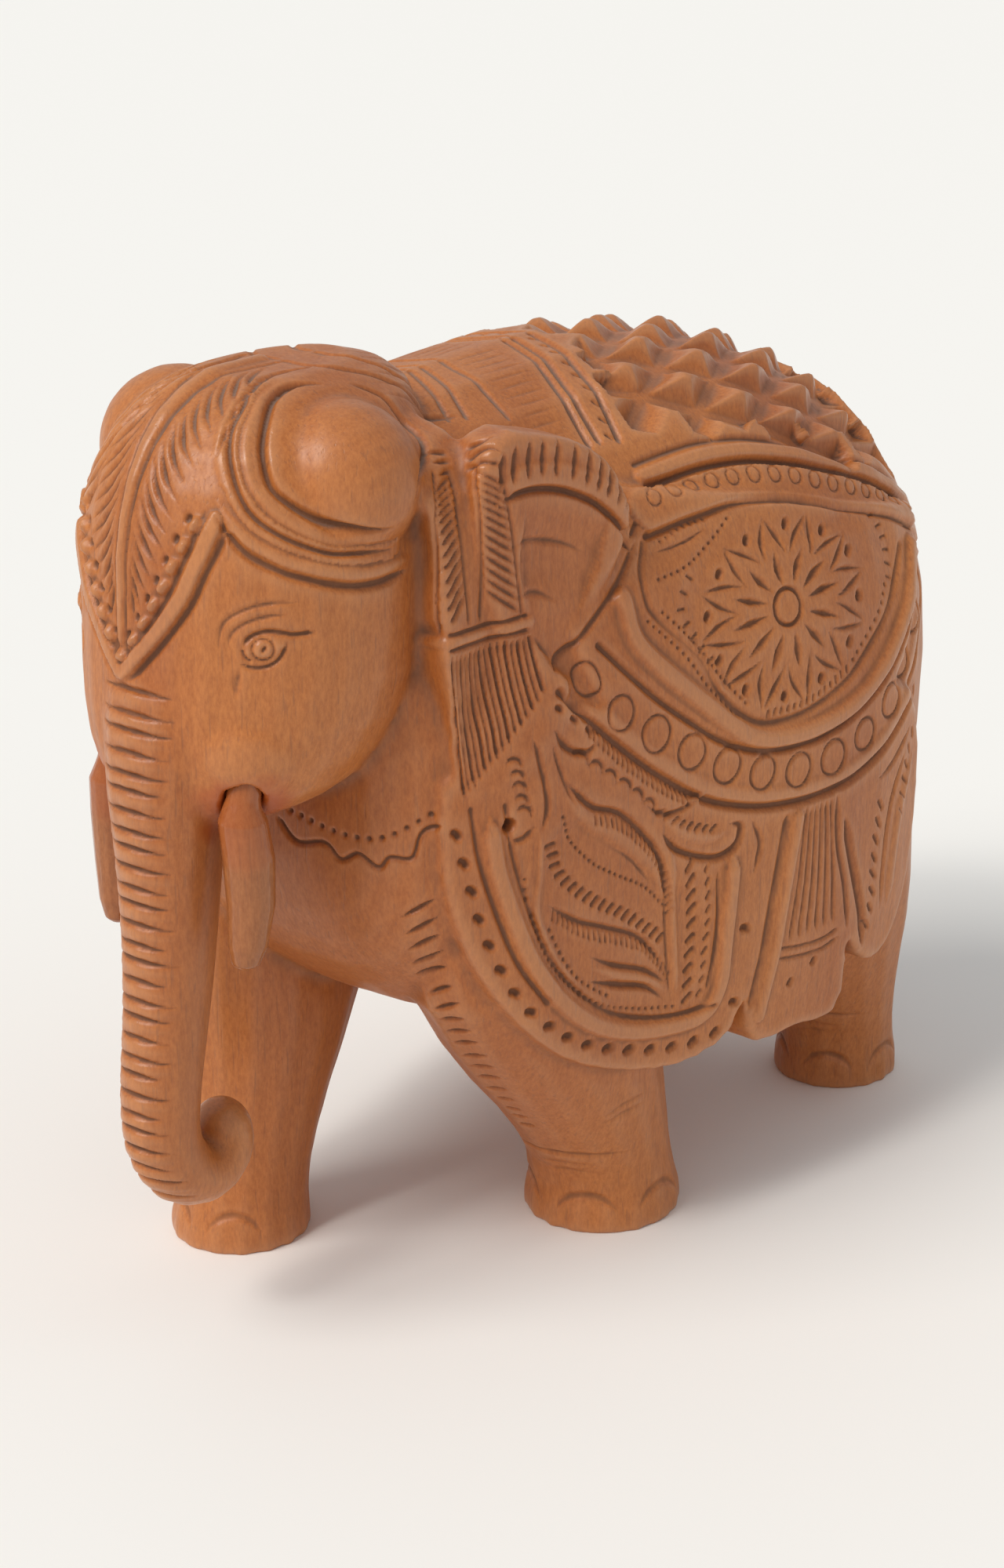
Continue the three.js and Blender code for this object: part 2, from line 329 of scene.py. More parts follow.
def line_mesh(name, lines, values):
    """Loose lines as one mesh, with a named value on every point."""
    points = np.vstack(lines)
    edges, start = [], 0
    for line in lines:
        count = len(line)
        edges += [(start + k, start + k + 1) for k in range(count - 1)]
        if np.linalg.norm(line[0] - line[-1]) < STROKE_STEP * 0.5 and count > 4:
            edges.append((start + count - 1, start))
        start += count
    mesh = bpy.data.meshes.new(name)
    mesh.from_pydata([tuple(point * MM) for point in points], edges, [])
    for label, column in values.items():
        mesh.attributes.new(label, "FLOAT", "POINT").data.foreach_set("value", np.concatenate(column))
    return mesh


def mark_mesh(name, lines, width, height, taper):
    """One small mark, drawn flat: along x, across y, in millimetres."""
    rows = []
    for points in lines:
        line = np.array([(x, y, 0) for x, y in points], float)
        along = np.linspace(0, 1, len(line))
        full = np.ones(len(line))
        if taper:
            full = np.clip(np.minimum(along, 1 - along) / taper, 0.12, 1) ** 0.7
        rows.append((line, width * full, height * full, np.ones(len(line))))
    lines, widths, heights, edges = zip(*rows)
    return line_mesh(name, lines, {"half_width": widths, "height": heights, "edge": edges})


# ---------------------------------------------------------------- node trees

def add(tree, kind, links=None, **settings):
    """A node with its settings made and its sockets joined or set."""
    node = tree.nodes.new(kind)
    for name, value in settings.items():
        setattr(node, name, value)
    for name, source in (links or {}).items():
        if isinstance(source, bpy.types.NodeSocket):
            tree.links.new(source, node.inputs[name])
        else:
            node.inputs[name].default_value = source
    return node


def sums(tree, operation, *values, clamp=False):
    links = {place: value for place, value in enumerate(values)}
    return add(tree, "ShaderNodeMath", links, operation=operation, use_clamp=clamp).outputs[0]


def vectors(tree, operation, first, second):
    return add(tree, "ShaderNodeVectorMath", {0: first, 1: second}, operation=operation).outputs[0]


def new_tree(name, kind, inputs, outputs):
    """An empty tree with named sockets; gives the tree, its input sockets and its output node."""
    tree = bpy.data.node_groups.new(name, kind)
    for label, socket, start in inputs:
        made = tree.interface.new_socket(label, in_out="INPUT", socket_type=socket)
        if start is not None:
            made.default_value = start
    for label, socket in outputs:
        tree.interface.new_socket(label, in_out="OUTPUT", socket_type=socket)
    return tree, tree.nodes.new("NodeGroupInput").outputs, tree.nodes.new("NodeGroupOutput")


def finished_with(tree, output, results):
    for label, socket in results.items():
        tree.links.new(socket, output.inputs[label])
    return tree


def named(tree, label, kind="FLOAT"):
    node = add(tree, "GeometryNodeInputNamedAttribute", {"Name": label}, data_type=kind)
    return node.outputs["Attribute"]


def stored(tree, geometry, label, value, kind="FLOAT"):
    node = add(tree, "GeometryNodeStoreNamedAttribute",
               {"Geometry": geometry, "Name": label, "Value": value},
               data_type=kind, domain="POINT")
    return node.outputs["Geometry"]


def shape_of(tree, chosen):
    return add(tree, "GeometryNodeObjectInfo", {"Object": chosen}).outputs["Geometry"]


def rows_tree():
    """Repeats one mark along guide lines, square to the surface, and lays it on the surface."""
    tree, given, output = new_tree("rows_of_marks", "GeometryNodeTree", [
        ("Guides", "NodeSocketGeometry", None), ("Mark", "NodeSocketObject", None),
        ("Form", "NodeSocketObject", None), ("Unevenness", "NodeSocketFloat", 0.06),
        ("Seed", "NodeSocketInt", 1)], [("Geometry", "NodeSocketGeometry")])
    form = shape_of(tree, given["Form"])
    lines = add(tree, "GeometryNodeMeshToCurve", {"Mesh": given["Guides"]}).outputs["Curve"]
    pitch = sums(tree, "MULTIPLY", named(tree, "spacing"), MM)
    spaced = add(tree, "GeometryNodeResampleCurve", {"Curve": lines, "Length": pitch}, mode="LENGTH")
    normal = add(tree, "GeometryNodeInputNormal").outputs["Normal"]
    out = add(tree, "GeometryNodeSampleNearestSurface", {"Mesh": form, "Value": normal},
              data_type="FLOAT_VECTOR").outputs["Value"]
    tangent = add(tree, "GeometryNodeInputTangent").outputs["Tangent"]
    facing = add(tree, "FunctionNodeAxesToRotation", {"Primary Axis": out, "Secondary Axis": tangent},
                 primary_axis="Z", secondary_axis="X").outputs["Rotation"]
    chance = add(tree, "FunctionNodeRandomValue", {"Seed": given["Seed"]}, data_type="FLOAT")
    chance.inputs[2].default_value, chance.inputs[3].default_value = -1, 1
    uneven = sums(tree, "MULTIPLY", chance.outputs[1], given["Unevenness"])
    angle = sums(tree, "ADD", named(tree, "turn"), uneven)
    spin = add(tree, "FunctionNodeAxisAngleToRotation",
               {"Axis": (0, 0, 1), "Angle": angle}).outputs["Rotation"]
    turned = add(tree, "FunctionNodeRotateRotation", {"Rotation": facing, "Rotate By": spin},
                 rotation_space="LOCAL").outputs["Rotation"]
    scale = sums(tree, "MULTIPLY", named(tree, "size"), sums(tree, "ADD", uneven, 1.0))
    placed = add(tree, "GeometryNodeInstanceOnPoints", {
        "Points": spaced.outputs["Curve"], "Instance": shape_of(tree, given["Mark"]),
        "Rotation": turned, "Scale": scale}).outputs["Instances"]
    real = add(tree, "GeometryNodeRealizeInstances", {"Geometry": placed}).outputs["Geometry"]
    for label in ("half_width", "height"):
        real = stored(tree, real, label, sums(tree, "MULTIPLY", named(tree, label), named(tree, "weight")))
    surface = add(tree, "GeometryNodeProximity", {0: form}, target_element="FACES").outputs["Position"]
    laid = add(tree, "GeometryNodeSetPosition", {"Geometry": real, "Position": surface}).outputs["Geometry"]
    return finished_with(tree, output, {"Geometry": laid})


def carve_tree():
    """Adds one layer to the relief: each stroke is deepest on its line and runs out at its width."""
    tree, given, output = new_tree("carve_a_layer", "GeometryNodeTree", [
        ("Geometry", "NodeSocketGeometry", None), ("Strokes", "NodeSocketObject", None),
        ("Softness", "NodeSocketFloat", 0.5)], [("Geometry", "NodeSocketGeometry")])
    strokes = shape_of(tree, given["Strokes"])
    rest = named(tree, "rest", "FLOAT_VECTOR")
    nearest = add(tree, "GeometryNodeProximity", {0: strokes, "Sample Position": rest},
                  target_element="EDGES")
    index = add(tree, "GeometryNodeSampleNearest", {"Geometry": strokes,
                "Sample Position": nearest.outputs["Position"]}, domain="POINT").outputs["Index"]

    def of_stroke(label):
        node = add(tree, "GeometryNodeSampleIndex", {"Geometry": strokes, "Value": named(tree, label),
                   "Index": index}, data_type="FLOAT", domain="POINT")
        return node.outputs["Value"]

    width = of_stroke("half_width")
    inside = sums(tree, "SUBTRACT", width, sums(tree, "DIVIDE", nearest.outputs["Distance"], MM))
    sharp = sums(tree, "DIVIDE", inside, sums(tree, "MULTIPLY", width, of_stroke("edge")), clamp=True)
    eased_in = add(tree, "ShaderNodeMapRange", {"Value": sharp}, interpolation_type="SMOOTHSTEP").outputs[0]
    slope = add(tree, "ShaderNodeMix", {"Factor": given["Softness"], "A": sharp, "B": eased_in},
                data_type="FLOAT").outputs[0]
    change = sums(tree, "MULTIPLY", of_stroke("height"), slope)
    result = stored(tree, given["Geometry"], "relief", sums(tree, "ADD", named(tree, "relief"), change))
    return finished_with(tree, output, {"Geometry": result})


def relief_tree():
    """Moves the surface out or in by its relief, with the slight unevenness that a knife leaves."""
    tree, given, output = new_tree("work_the_relief", "GeometryNodeTree", [
        ("Geometry", "NodeSocketGeometry", None), ("Knife Marks", "NodeSocketFloat", 0.05),
        ("Mark Size", "NodeSocketFloat", 5.0), ("Material", "NodeSocketMaterial", None)],
        [("Geometry", "NodeSocketGeometry")])
    rest = named(tree, "rest", "FLOAT_VECTOR")
    scale = sums(tree, "DIVIDE", 1.0 / MM, given["Mark Size"])
    noise = add(tree, "ShaderNodeTexNoise", {"Vector": rest, "Scale": scale, "Detail": 1.0})
    uneven = sums(tree, "MULTIPLY", sums(tree, "SUBTRACT", noise.outputs[0], 0.5),
                  sums(tree, "MULTIPLY", given["Knife Marks"], 2.0))
    height = add(tree, "ShaderNodeSeparateXYZ", {0: rest}).outputs[2]
    above_sole = add(tree, "ShaderNodeMapRange", {"Value": height, 1: 0.5 * MM, 2: 2.5 * MM}).outputs[0]
    worked = sums(tree, "MULTIPLY", sums(tree, "ADD", named(tree, "relief"), uneven), above_sole)
    depth = sums(tree, "MULTIPLY", worked, MM)
    move = add(tree, "ShaderNodeVectorMath", {0: named(tree, "lift", "FLOAT_VECTOR"), "Scale": depth},
               operation="SCALE").outputs[0]
    place = vectors(tree, "ADD", rest, move)
    moved = add(tree, "GeometryNodeSetPosition", {"Geometry": given["Geometry"], "Position": place})
    real = add(tree, "GeometryNodeRealizeInstances", {"Geometry": moved.outputs["Geometry"]})
    surfaced = add(tree, "GeometryNodeSetMaterial", {"Geometry": real.outputs["Geometry"],
                   "Material": given["Material"]})
    return finished_with(tree, output, {"Geometry": surfaced.outputs["Geometry"]})


def fit(obj, tree, **values):
    """Puts a tree on an object, with its inputs set by socket identifier."""
    modifier = obj.modifiers.new(tree.name, "NODES")
    modifier.node_group = tree
    for item in tree.interface.items_tree:
        label = item.name.lower().replace(" ", "_")
        if item.in_out == "INPUT" and label in values:
            modifier[item.identifier] = values[label]


# ---------------------------------------------------------------- what is carved where

def between(a, b, t):
    return tuple(p + (q - p) * t for p, q in zip(a, b))


def flank_tools(work, on, layers, marks):
    """One cutter for each layer and one punch for each mark, laid on the flank."""
    cutters = [partial(work.stroke, layer, on.flank) for layer in layers]
    return cutters + [partial(work.row, mark, on.flank) for mark in marks]


def carve_trunk(work, on):
    """Wrinkles across the front of the trunk, from the brow down to the curl."""
    for k in range(TRUNK_WRINKLES):
        z = 92.2 - 2.55 * k - 0.25 * math.sin(2.1 * k)
        reach = np.interp(z, [20, 45, 75, 93], [4.2, 4.4, 5.4, 6.6]) + 0.35 * math.sin(3.7 * k)
        work.stroke("grooves", on.trunk, [(-reach, z - 0.3), (0, z + 0.2), (reach, z - 0.3)], 0.62, -0.7,
                    taper=0.4, sides=(1,))
        work.stroke("raised", on.trunk, [(-reach, z - 1.5), (0, z - 1.1), (reach, z - 1.5)], 1.1, 0.14,
                    taper=0.4, sides=(1,))


BEAD_LINE = [(10.6, 37), (9.6, 31), (8.4, 24), (6.9, 16), (5.3, 9), (3.5, 1), (1.9, -5), (0.4, -10)]
BONNET_RIM = [(12.9, 41.5), (12.1, 33), (11.0, 24), (9.4, 14), (7.3, 5), (4.9, -3), (2.4, -10),
              (0.3, -15.5)]


def carve_bonnet(work, on):
    """The feathered cloth over the forehead, with its rib, its beads and its rim."""
    work.stroke("raised", on.bonnet, [(0, 98), (0, 75), (0, 50), (0, 20), (0, -4)], 1.7, 0.55, edge=0.9,
                sides=(1,))
    rib = [(3.0, 98), (2.1, 78), (1.5, 62), (1.1, 46), (0.9, 29), (0.85, 11), (0.7, -6)]
    work.stroke("fine", on.bonnet, rib, 0.42, -0.45)
    for k in range(17):
        rise = 92 - 5.1 * k
        start = np.interp(rise, [-6, 46, 98], [1.3, 1.8, 3.9])
        end_rise = rise - 13 - 4 * (rise / 92)
        limit = np.interp(end_rise, [p[1] for p in BEAD_LINE[::-1]], [p[0] for p in BEAD_LINE[::-1]]) - 1.3
        end = min(start + 5.6, limit)
        if end - start < 0.8:
            continue
        middle = (start + (end - start) * 0.42, rise - (rise - end_rise) * 0.58)
        work.stroke("grooves", on.bonnet, [(start, rise), middle, (end, end_rise)], 0.66, -0.62, taper=0.55)
        work.stroke("fine", on.bonnet, [(start + 0.3, rise - 3.2),
                                        (end * 0.8 + start * 0.2, end_rise - 0.6)], 0.28, -0.22, taper=0.5)
    for k in range(4):
        rise = 84 - 6.5 * k
        x = 6.2 + 0.9 * k
        work.stroke("grooves", on.bonnet, [(x, rise + 3), (x + 1.2, rise - 3), (x + 1.5, rise - 9)], 0.6,
                    -0.6, taper=0.5)
    work.stroke("raised", on.bonnet, BONNET_RIM, 1.25, 0.62, edge=0.45)
    inner = [(x - 1.5, rise + 0.8) for x, rise in BONNET_RIM[:-2]]
    work.stroke("fine", on.bonnet, inner, 0.4, -0.35, taper=0.1)
    outer = [(x + 1.35, rise - 1.6) for x, rise in BONNET_RIM]
    work.stroke("grooves", on.bonnet, outer, 0.8, -0.55, taper=0.08)
    work.row("bead", on.bonnet, BEAD_LINE, 2.75, 0.95)
    work.row("pit", on.bonnet, [(x - 1.15, rise + 1.6) for x, rise in BEAD_LINE], 2.75, 1.0)


STRAP_OUTER = [(5.6, -44, 128.4), (4.6, -49.6, 128.5), (5.6, -54.8, 127.9), (6.8, -58, 126.5),
               (8.3, -62.1, 123.3), (10.9, -64.2, 119.2), (13.6, -64.2, 115.4), (16.8, -62.1, 112.7),
               (19.6, -58.1, 110.5), (20.8, -54.3, 109.7), (21.6, -48.2, 109.1)]
STRAP_INNER = [(9.7, -47, 127.6), (8.3, -50.8, 127.9), (8.6, -54.6, 127.2), (10.6, -58.4, 124.8),
               (12.2, -60.6, 121.9), (14.4, -61.6, 118.6), (16.6, -60.2, 116.2), (19.1, -57.4, 113.9),
               (21.6, -54.1, 112.7), (22.9, -49.3, 112.2)]
STRAP_EDGE = [(9.9, -66.2, 117.0), (11.6, -66.1, 114.8), (14, -65.2, 112.4), (17.1, -62.6, 110.2),
              (19.6, -59.1, 108.6), (21.1, -54.7, 107.3), (21.6, -50, 106.8), (21.4, -44.3, 107.2)]
DOME_BACK = [(10.6, -43.4, 127.4), (12.6, -39.7, 125.2), (15.6, -38.3, 121.8), (19.4, -39.6, 119.2),
             (22.4, -44.2, 117.4), (23.4, -46, 114.6)]


def carve_straps(work, on):
    """Two rolled straps round each dome of the head, and the crease behind it."""
    middle = [between(a, b, 0.5) for a, b in zip(STRAP_OUTER[1:], STRAP_INNER[1:] + STRAP_INNER[-1:])]
    work.stroke("raised", on.near, STRAP_OUTER[2:], 2.2, 0.28, edge=0.5)
    work.stroke("raised", on.near, STRAP_EDGE, 1.2, 0.34, edge=0.9, taper=0.1)
    work.stroke("raised", on.near, middle[1:], 0.9, 0.25, edge=0.9, taper=0.1)
    work.stroke("grooves", on.near, STRAP_OUTER, 0.62, -0.75, taper=0.12)
    work.stroke("grooves", on.near, STRAP_INNER, 0.85, -1.1, taper=0.15)
    work.stroke("grooves", on.near, [(x * 1.02, y - 0.6, z - 1.5) for x, y, z in STRAP_EDGE], 0.95, -0.8,
                taper=0.12)
    work.stroke("grooves", on.near, DOME_BACK, 0.8, -0.9, taper=0.3)


def carve_crown(work, on):
    """Bands over the crown and the neck, with straight hatching between them."""
    bands = [((-44.5, 0), (-43.6, 6), (-35, 11), (-27.5, 14)),
             ((-38.6, 0), (-37.8, 4), (-31.5, 9.5), (-24, 13.5)),
             ((-20.6, 0), (-22.4, 5), (-24, 9), (-25.6, 14)),
             ((-18.3, 0), (-19.8, 5), (-21.6, 10), (-23.2, 15)),
             ((-14.6, 0), (-15.6, 4), (-16.2, 8), (-16.8, 12), (-17.6, 18)),
             ((-1.6, 0), (-2.9, 5), (-5.1, 12), (-7.1, 19), (-8.2, 27)),
             ((0.1, 0), (-1.2, 5), (-3.4, 12), (-5.3, 19), (-6.3, 27)),
             ((3.6, 0), (2.6, 5), (0.6, 12), (-1, 19), (-3.2, 28))]
    for k, band in enumerate(bands):
        work.stroke("grooves", on.back, band, 0.62 if k < 5 else 0.8, -0.5 if k < 5 else -0.85, taper=0.04)
    for side_turn in range(2, 26, 2):
        front = -14 - 0.12 * side_turn
        work.stroke("fine", on.back, [(front, side_turn),
                                      (front + 10.5 - 0.16 * side_turn, side_turn + 0.6)], 0.4, -0.16,
                    taper=0.4)
    for turn in range(3, 14, 2):
        work.stroke("fine", on.back, [(-35 - 0.5 * turn, turn), (-24.5, turn + 0.4)], 0.4, -0.15, taper=0.4)
    work.row("tick", on.back, [(1.9, 3), (-0.6, 12), (-2.2, 19), (-4.2, 26)], 2.4, 0.9, turn=0.9,
             weight=1.4)


def carve_eye(work, on):
    """The eye with its ring and pupil, the two lids, the tear line, and the two lines of the brow."""
    eye = on.badge(15.9, -65.2, 99.2)
    scratch = partial(work.stroke, "fine", eye)
    ring = [(1.35 * math.cos(a), 1.3 * math.sin(a)) for a in np.linspace(0, 2 * math.pi, 17)]
    work.stroke("raised", eye, [(-2.6, -0.6), (0, 0), (2.9, 0.6)], 2.3, 0.5, taper=0.4)
    scratch(ring, 0.36, -0.45)
    work.spot("pit", eye, (0.1, 0), 0.6, weight=0.75)
    lid = [(-2.5, 0.3), (-1.5, 1.5), (0.4, 2.15), (2.2, 2.0), (4.0, 1.6), (6.9, 1.75)]
    scratch(lid, 0.52, -0.62, taper=0.12)
    scratch([(-2.9, -1.7), (-1.4, -2.3), (0.4, -2.2), (2.0, -1.2), (3.1, 0.9)], 0.42, -0.5, taper=0.15)
    scratch([(-2.5, 0.2), (-2.2, -0.9), (-1.2, -1.6)], 0.4, -0.4, taper=0.2)
    work.stroke("grooves", eye, [(-2.7, -2.2), (-3.3, -4.2), (-3.4, -6.2)], 0.8, -0.35, taper=0.4)
    scratch([(-5.6, -0.6), (-4.9, 3), (-2.2, 4.9), (1.2, 5.7), (4.9, 5.7)], 0.5, -0.34, taper=0.25)
    scratch([(-4.5, -0.2), (-3.6, 2.2), (-0.6, 3.8), (3.6, 4.4)], 0.5, -0.34, taper=0.25)


STRAP_FRONT = [(21.6, -40.5, 117.5), (24, -42.8, 110.4), (24.3, -42.5, 97.3)]
STRAP_SPINE = [(22.8, -37.9, 117.5), (24.8, -38.9, 109.5), (25.8, -38.6, 97.6)]
STRAP_SPINE_BACK = [(24.6, -36, 118), (26.3, -37, 109.5), (26, -36.4, 97.6)]
STRAP_BACK = [(26.6, -34.2, 118.3), (27.2, -32.2, 109.5), (27.8, -30.4, 97)]


def carve_strap_and_tassel(work, on):
    """The herringbone strap that hangs at the temple, its knot, and the tassel below."""
    for k, z in enumerate((120.6, 119.3, 117.9)):
        work.stroke("fine", on.near, [(19.6 + k, -40.2, z - 1.6), (22.6 + k, -36.8, z),
                                      (25.2 + k, -33.2, z - 0.3)], 0.5, -0.5, taper=0.15)
    for border in (STRAP_FRONT, STRAP_SPINE, STRAP_SPINE_BACK, STRAP_BACK):
        work.stroke("fine", on.near, border, 0.4, -0.4, taper=0.03)
    for spine, border in ((STRAP_SPINE, STRAP_FRONT), (STRAP_SPINE_BACK, STRAP_BACK)):
        inner, outer = smooth_line(spine), smooth_line(border)
        for k in range(2, 27, 2):
            work.stroke("grooves", on.near, [inner[k], outer[min(k + 5, len(outer) - 1)]], 0.55, -0.55,
                        taper=0.3)
    for z in (97.2, 95.3):
        work.stroke("fine", on.flank, [(-42.0, z), (-36, z - 0.1), (-29.8, z + 0.1)], 0.42, -0.55)
    work.stroke("raised", on.flank, [(-42.8, 96.2), (-36, 96.1), (-29.2, 96.3)], 1.0, 0.3, edge=0.7)
    for k in range(15):
        t = k / 14
        top = (-41.9 + 12.6 * t, 94.6)
        foot = between((-39.7, 75.2), (-28.4, 87), t ** 1.15)
        bend = between(top, foot, 0.5)
        work.stroke("fine", on.flank, [top, (bend[0] - 0.2, bend[1]), foot], 0.46, -0.5 if k % 2 else -0.75,
                    taper=0.06)


def carve_ear(work, on):
    """The folded top of the ear with its hatching, and three soft folds below it."""
    fold = [(-34.3, 112.4), (-29.9, 113.4), (-24.5, 112.6), (-19, 110.2), (-15.3, 107.4), (-12.2, 104.2),
            (-9.2, 100.8)]
    work.stroke("broad", on.flank, [(-31, 104), (-24, 104), (-17, 101)], 7.5, -0.8, edge=0.8, taper=0.1)
    work.stroke("raised", on.flank, [(y + 0.4, z + 2.0) for y, z in fold], 1.9, 0.35, edge=0.5, taper=0.1)
    work.stroke("grooves", on.flank, fold, 0.75, -1.0, taper=0.12)
    for t in np.linspace(0.02, 0.98, 14):
        line = smooth_line(fold, 12)
        y, z = line[int(t * (len(line) - 1))]
        lean = np.interp(t, [0, 0.5, 1], [0.5, 1.7, 2.6])
        up = np.interp(t, [0, 0.5, 1], [5.6, 4.6, 2.2])
        work.stroke("grooves", on.flank, [(y + 0.1, z + 1.5), (y + lean * 0.6, z + 1.5 + up * 0.5),
                                          (y + lean, z + 1.3 + up)], 0.62, -0.6, taper=0.25)
    lower_edge = [(28.3, -8.6, 102.4), (29.4, -13.1, 98.3), (29.7, -17.2, 95.4), (29.4, -21.9, 92.1),
                  (29.4, -26.4, 89.3)]
    work.stroke("grooves", on.near, lower_edge, 0.75, -0.6, taper=0.1)
    for line in ([(-33.4, 106.2), (-29.8, 106.9), (-25.8, 106.2), (-22.2, 104.9), (-19, 103)],
                 [(-31.4, 99.8), (-28, 99.9), (-24.4, 98)], [(-29, 94.8), (-26.1, 91)]):
        work.stroke("grooves", on.flank, line, 0.75, -0.42, taper=0.5)


def carve_back(work, on):
    """Pyramid studs over the back, left standing between two families of crossing valleys."""
    for k in range(-5, 9):
        start = 8.6 + STUD_PITCH * k
        line = []
        for step in np.linspace(-46, 46, 47):
            y = start + step / STUD_LEAN
            if 4.5 - 0.22 * abs(step) < y < 58 and abs(step) < belt_edge(y) - 1.0:
                line.append((y, step))
        if len(line) > 3:
            work.stroke("valleys", on.back, line, 3.6, -2.4, edge=0.82, taper=0.03)


def belt_edge(y):
    return np.interp(y, [-3, 10, 20, 29.5, 40, 55, 70], [32, 32.4, 34.5, 38.5, 42.5, 49, 56])


def along_belt(offset, start=-2.5, end=66, count=9):
    return [(y, belt_edge(y) + offset) for y in np.linspace(start, end, count)]


def carve_belt(work, on):
    """The girth band along the top of the saddle cloth: a rolled edge, a row of rings and a lower roll."""
    work.stroke("raised", on.back, along_belt(1.4), 1.5, 0.75, edge=0.7)
    work.stroke("grooves", on.back, along_belt(-0.7), 0.7, -0.5)
    work.stroke("grooves", on.back, along_belt(3.3), 0.75, -0.8)
    work.stroke("raised", on.back, along_belt(7.2, start=-5.5), 3.7, 0.5, edge=0.35)
    work.row("ring", on.back, along_belt(6.0, start=-3.6), 4.1, 1.15)
    work.stroke("grooves", on.back, along_belt(11.2, start=-6.5), 0.9, -0.9)


SADDLE_FIELD = [(-7.4, 102), (-9.2, 98.6), (-9.4, 95.2), (-8, 92.4), (-1.8, 86), (2, 80), (6.8, 75.6),
                (12, 74), (19.5, 74.2), (28, 76.6), (36, 81.4), (41.3, 86.5), (44.5, 91)]
SADDLE_RIM = [(-13.4, 96), (-12.4, 90.6), (-8.2, 85.6), (-2, 80.2), (3.4, 75.6), (8.6, 72.4), (16, 71.2),
              (24, 71.6), (32, 74), (39.4, 78.6), (44.6, 84), (48.2, 90)]
SADDLE_RIM_LOW = [(-18.4, 91), (-11.1, 83.4), (-4.2, 77.8), (2.4, 73.2), (9.4, 70.4), (17.4, 69.3),
                  (25.4, 69.9), (33.8, 72.8), (41.6, 77.6), (47.4, 83.6), (51, 89)]
RING_LINE = [(-20.6, 87), (-15.7, 81.4), (-9, 76.8), (-1.5, 72.2), (5.8, 68.6), (13.5, 66.3), (21, 65.6),
             (28.5, 66.3), (36, 69), (43, 73.6), (49, 79.6)]
SADDLE_HEM = [(-26, 86.6), (-19.1, 79.7), (-11.3, 72.8), (-2.6, 66.8), (4.8, 63.6), (13, 61.6), (23, 60.8),
              (32, 61.9), (40.5, 65.3), (48, 71), (53, 77.5)]


def carve_rosette(work, on):
    """A ring with twelve petals; each is one leaf cut and two finer cuts that meet at its tip."""
    middle_y, middle_z = 16.3, 89.0
    ring = [(middle_y + 2.6 * math.cos(a), middle_z + 2.45 * math.sin(a))
            for a in np.linspace(0, 2 * math.pi, 25)]
    work.stroke("fine", on.flank, ring, 0.5, -0.75)
    for k in range(12):
        a = math.radians(30 * k + 6)
        stretch = 0.86 if math.sin(a) > 0.3 else 1.0

        def at(reach, aside):
            y = math.cos(a) * reach - math.sin(a) * aside
            z = math.sin(a) * reach * stretch + math.cos(a) * aside
            return middle_y + y * 1.24, middle_z + z * 1.0
        work.stroke("grooves", on.flank, [at(3.4, 0), at(6.2, 0.1), at(8.9, 0)], 0.95, -0.95, taper=0.6)
        work.stroke("grooves", on.flank, [at(7.4, 1.9), at(10.5, 1.35), at(14.2, 0)], 0.62, -0.62,
                    taper=0.5)
        work.stroke("grooves", on.flank, [at(7.6, -1.8), at(10.6, -1.3), at(14.2, 0)], 0.62, -0.62,
                    taper=0.5)
        b = a + math.radians(15)
        drop = (middle_y + 15.4 * math.cos(b), middle_z + 12.3 * math.sin(b) * stretch)
        work.spot("pit", on.flank, drop, 1.0, weight=1.25)


def carve_saddle(work, on):
    """The saddle cloth: sunk field, dotted leaf borders, rolled rim and outer band of rings."""
    groove, roll, scratch, dots, ticks = flank_tools(work, on, ("grooves", "raised", "fine"),
                                                     ("dot", "tick"))
    work.stroke("broad", on.flank, [(8, 90), (16, 88.5), (25, 88), (32, 89)], 13, -0.45, edge=0.3)
    roll(SADDLE_RIM, 1.9, 0.95, edge=0.75)
    groove(SADDLE_FIELD, 0.8, -0.5)
    groove(SADDLE_RIM_LOW, 0.8, -0.85)
    work.row("ring", on.flank, RING_LINE, 7.4, 2.45, weight=1.25)
    roll([(y * 0.97 + 0.4, z + 1.6) for y, z in SADDLE_HEM], 1.7, 0.3, edge=0.8)
    groove(SADDLE_HEM, 1.0, -1.0)
    edging = [(-9.6, 92.4), (-4.5, 87.2), (-0.6, 82), (3.6, 77.4)]
    dots(edging, 1.25)
    dots([(y + 2.7, z + 0.6) for y, z in edging], 1.2)
    roll([(y + 1.4, z + 0.3) for y, z in edging], 0.9, 0.28, taper=0.3)
    dots([(-6.6, 97.2), (-1, 98), (4.8, 100.4), (8, 102.2)], 1.15)
    dots([(-4.5, 101.6), (0, 102.6), (4, 102.8)], 1.15)
    scratch([(-6.2, 100.4), (-0.5, 100.8), (4, 101.8)], 0.4, -0.4, taper=0.3)
    ticks([(-1.4, 96.4), (-3.6, 93), (-2.4, 89.4), (0.6, 85)], 2.2, 1.15, turn=1.5, weight=1.3)
    ticks([(10.5, 75.4), (16, 75.2), (22, 75.9), (27.5, 77.6)], 1.25, 0.8, turn=1.2, weight=1.2)
    dots([(29, 78.6), (34.5, 82.6), (38.6, 87)], 1.4)
    ticks([(38.8, 96.5), (40.6, 92), (40, 87.6)], 1.9, 1.2, turn=1.3, weight=1.1)
    groove([(51, 91.4), (54.2, 86), (54.8, 80.6), (53, 77.5)], 0.9, -0.8)


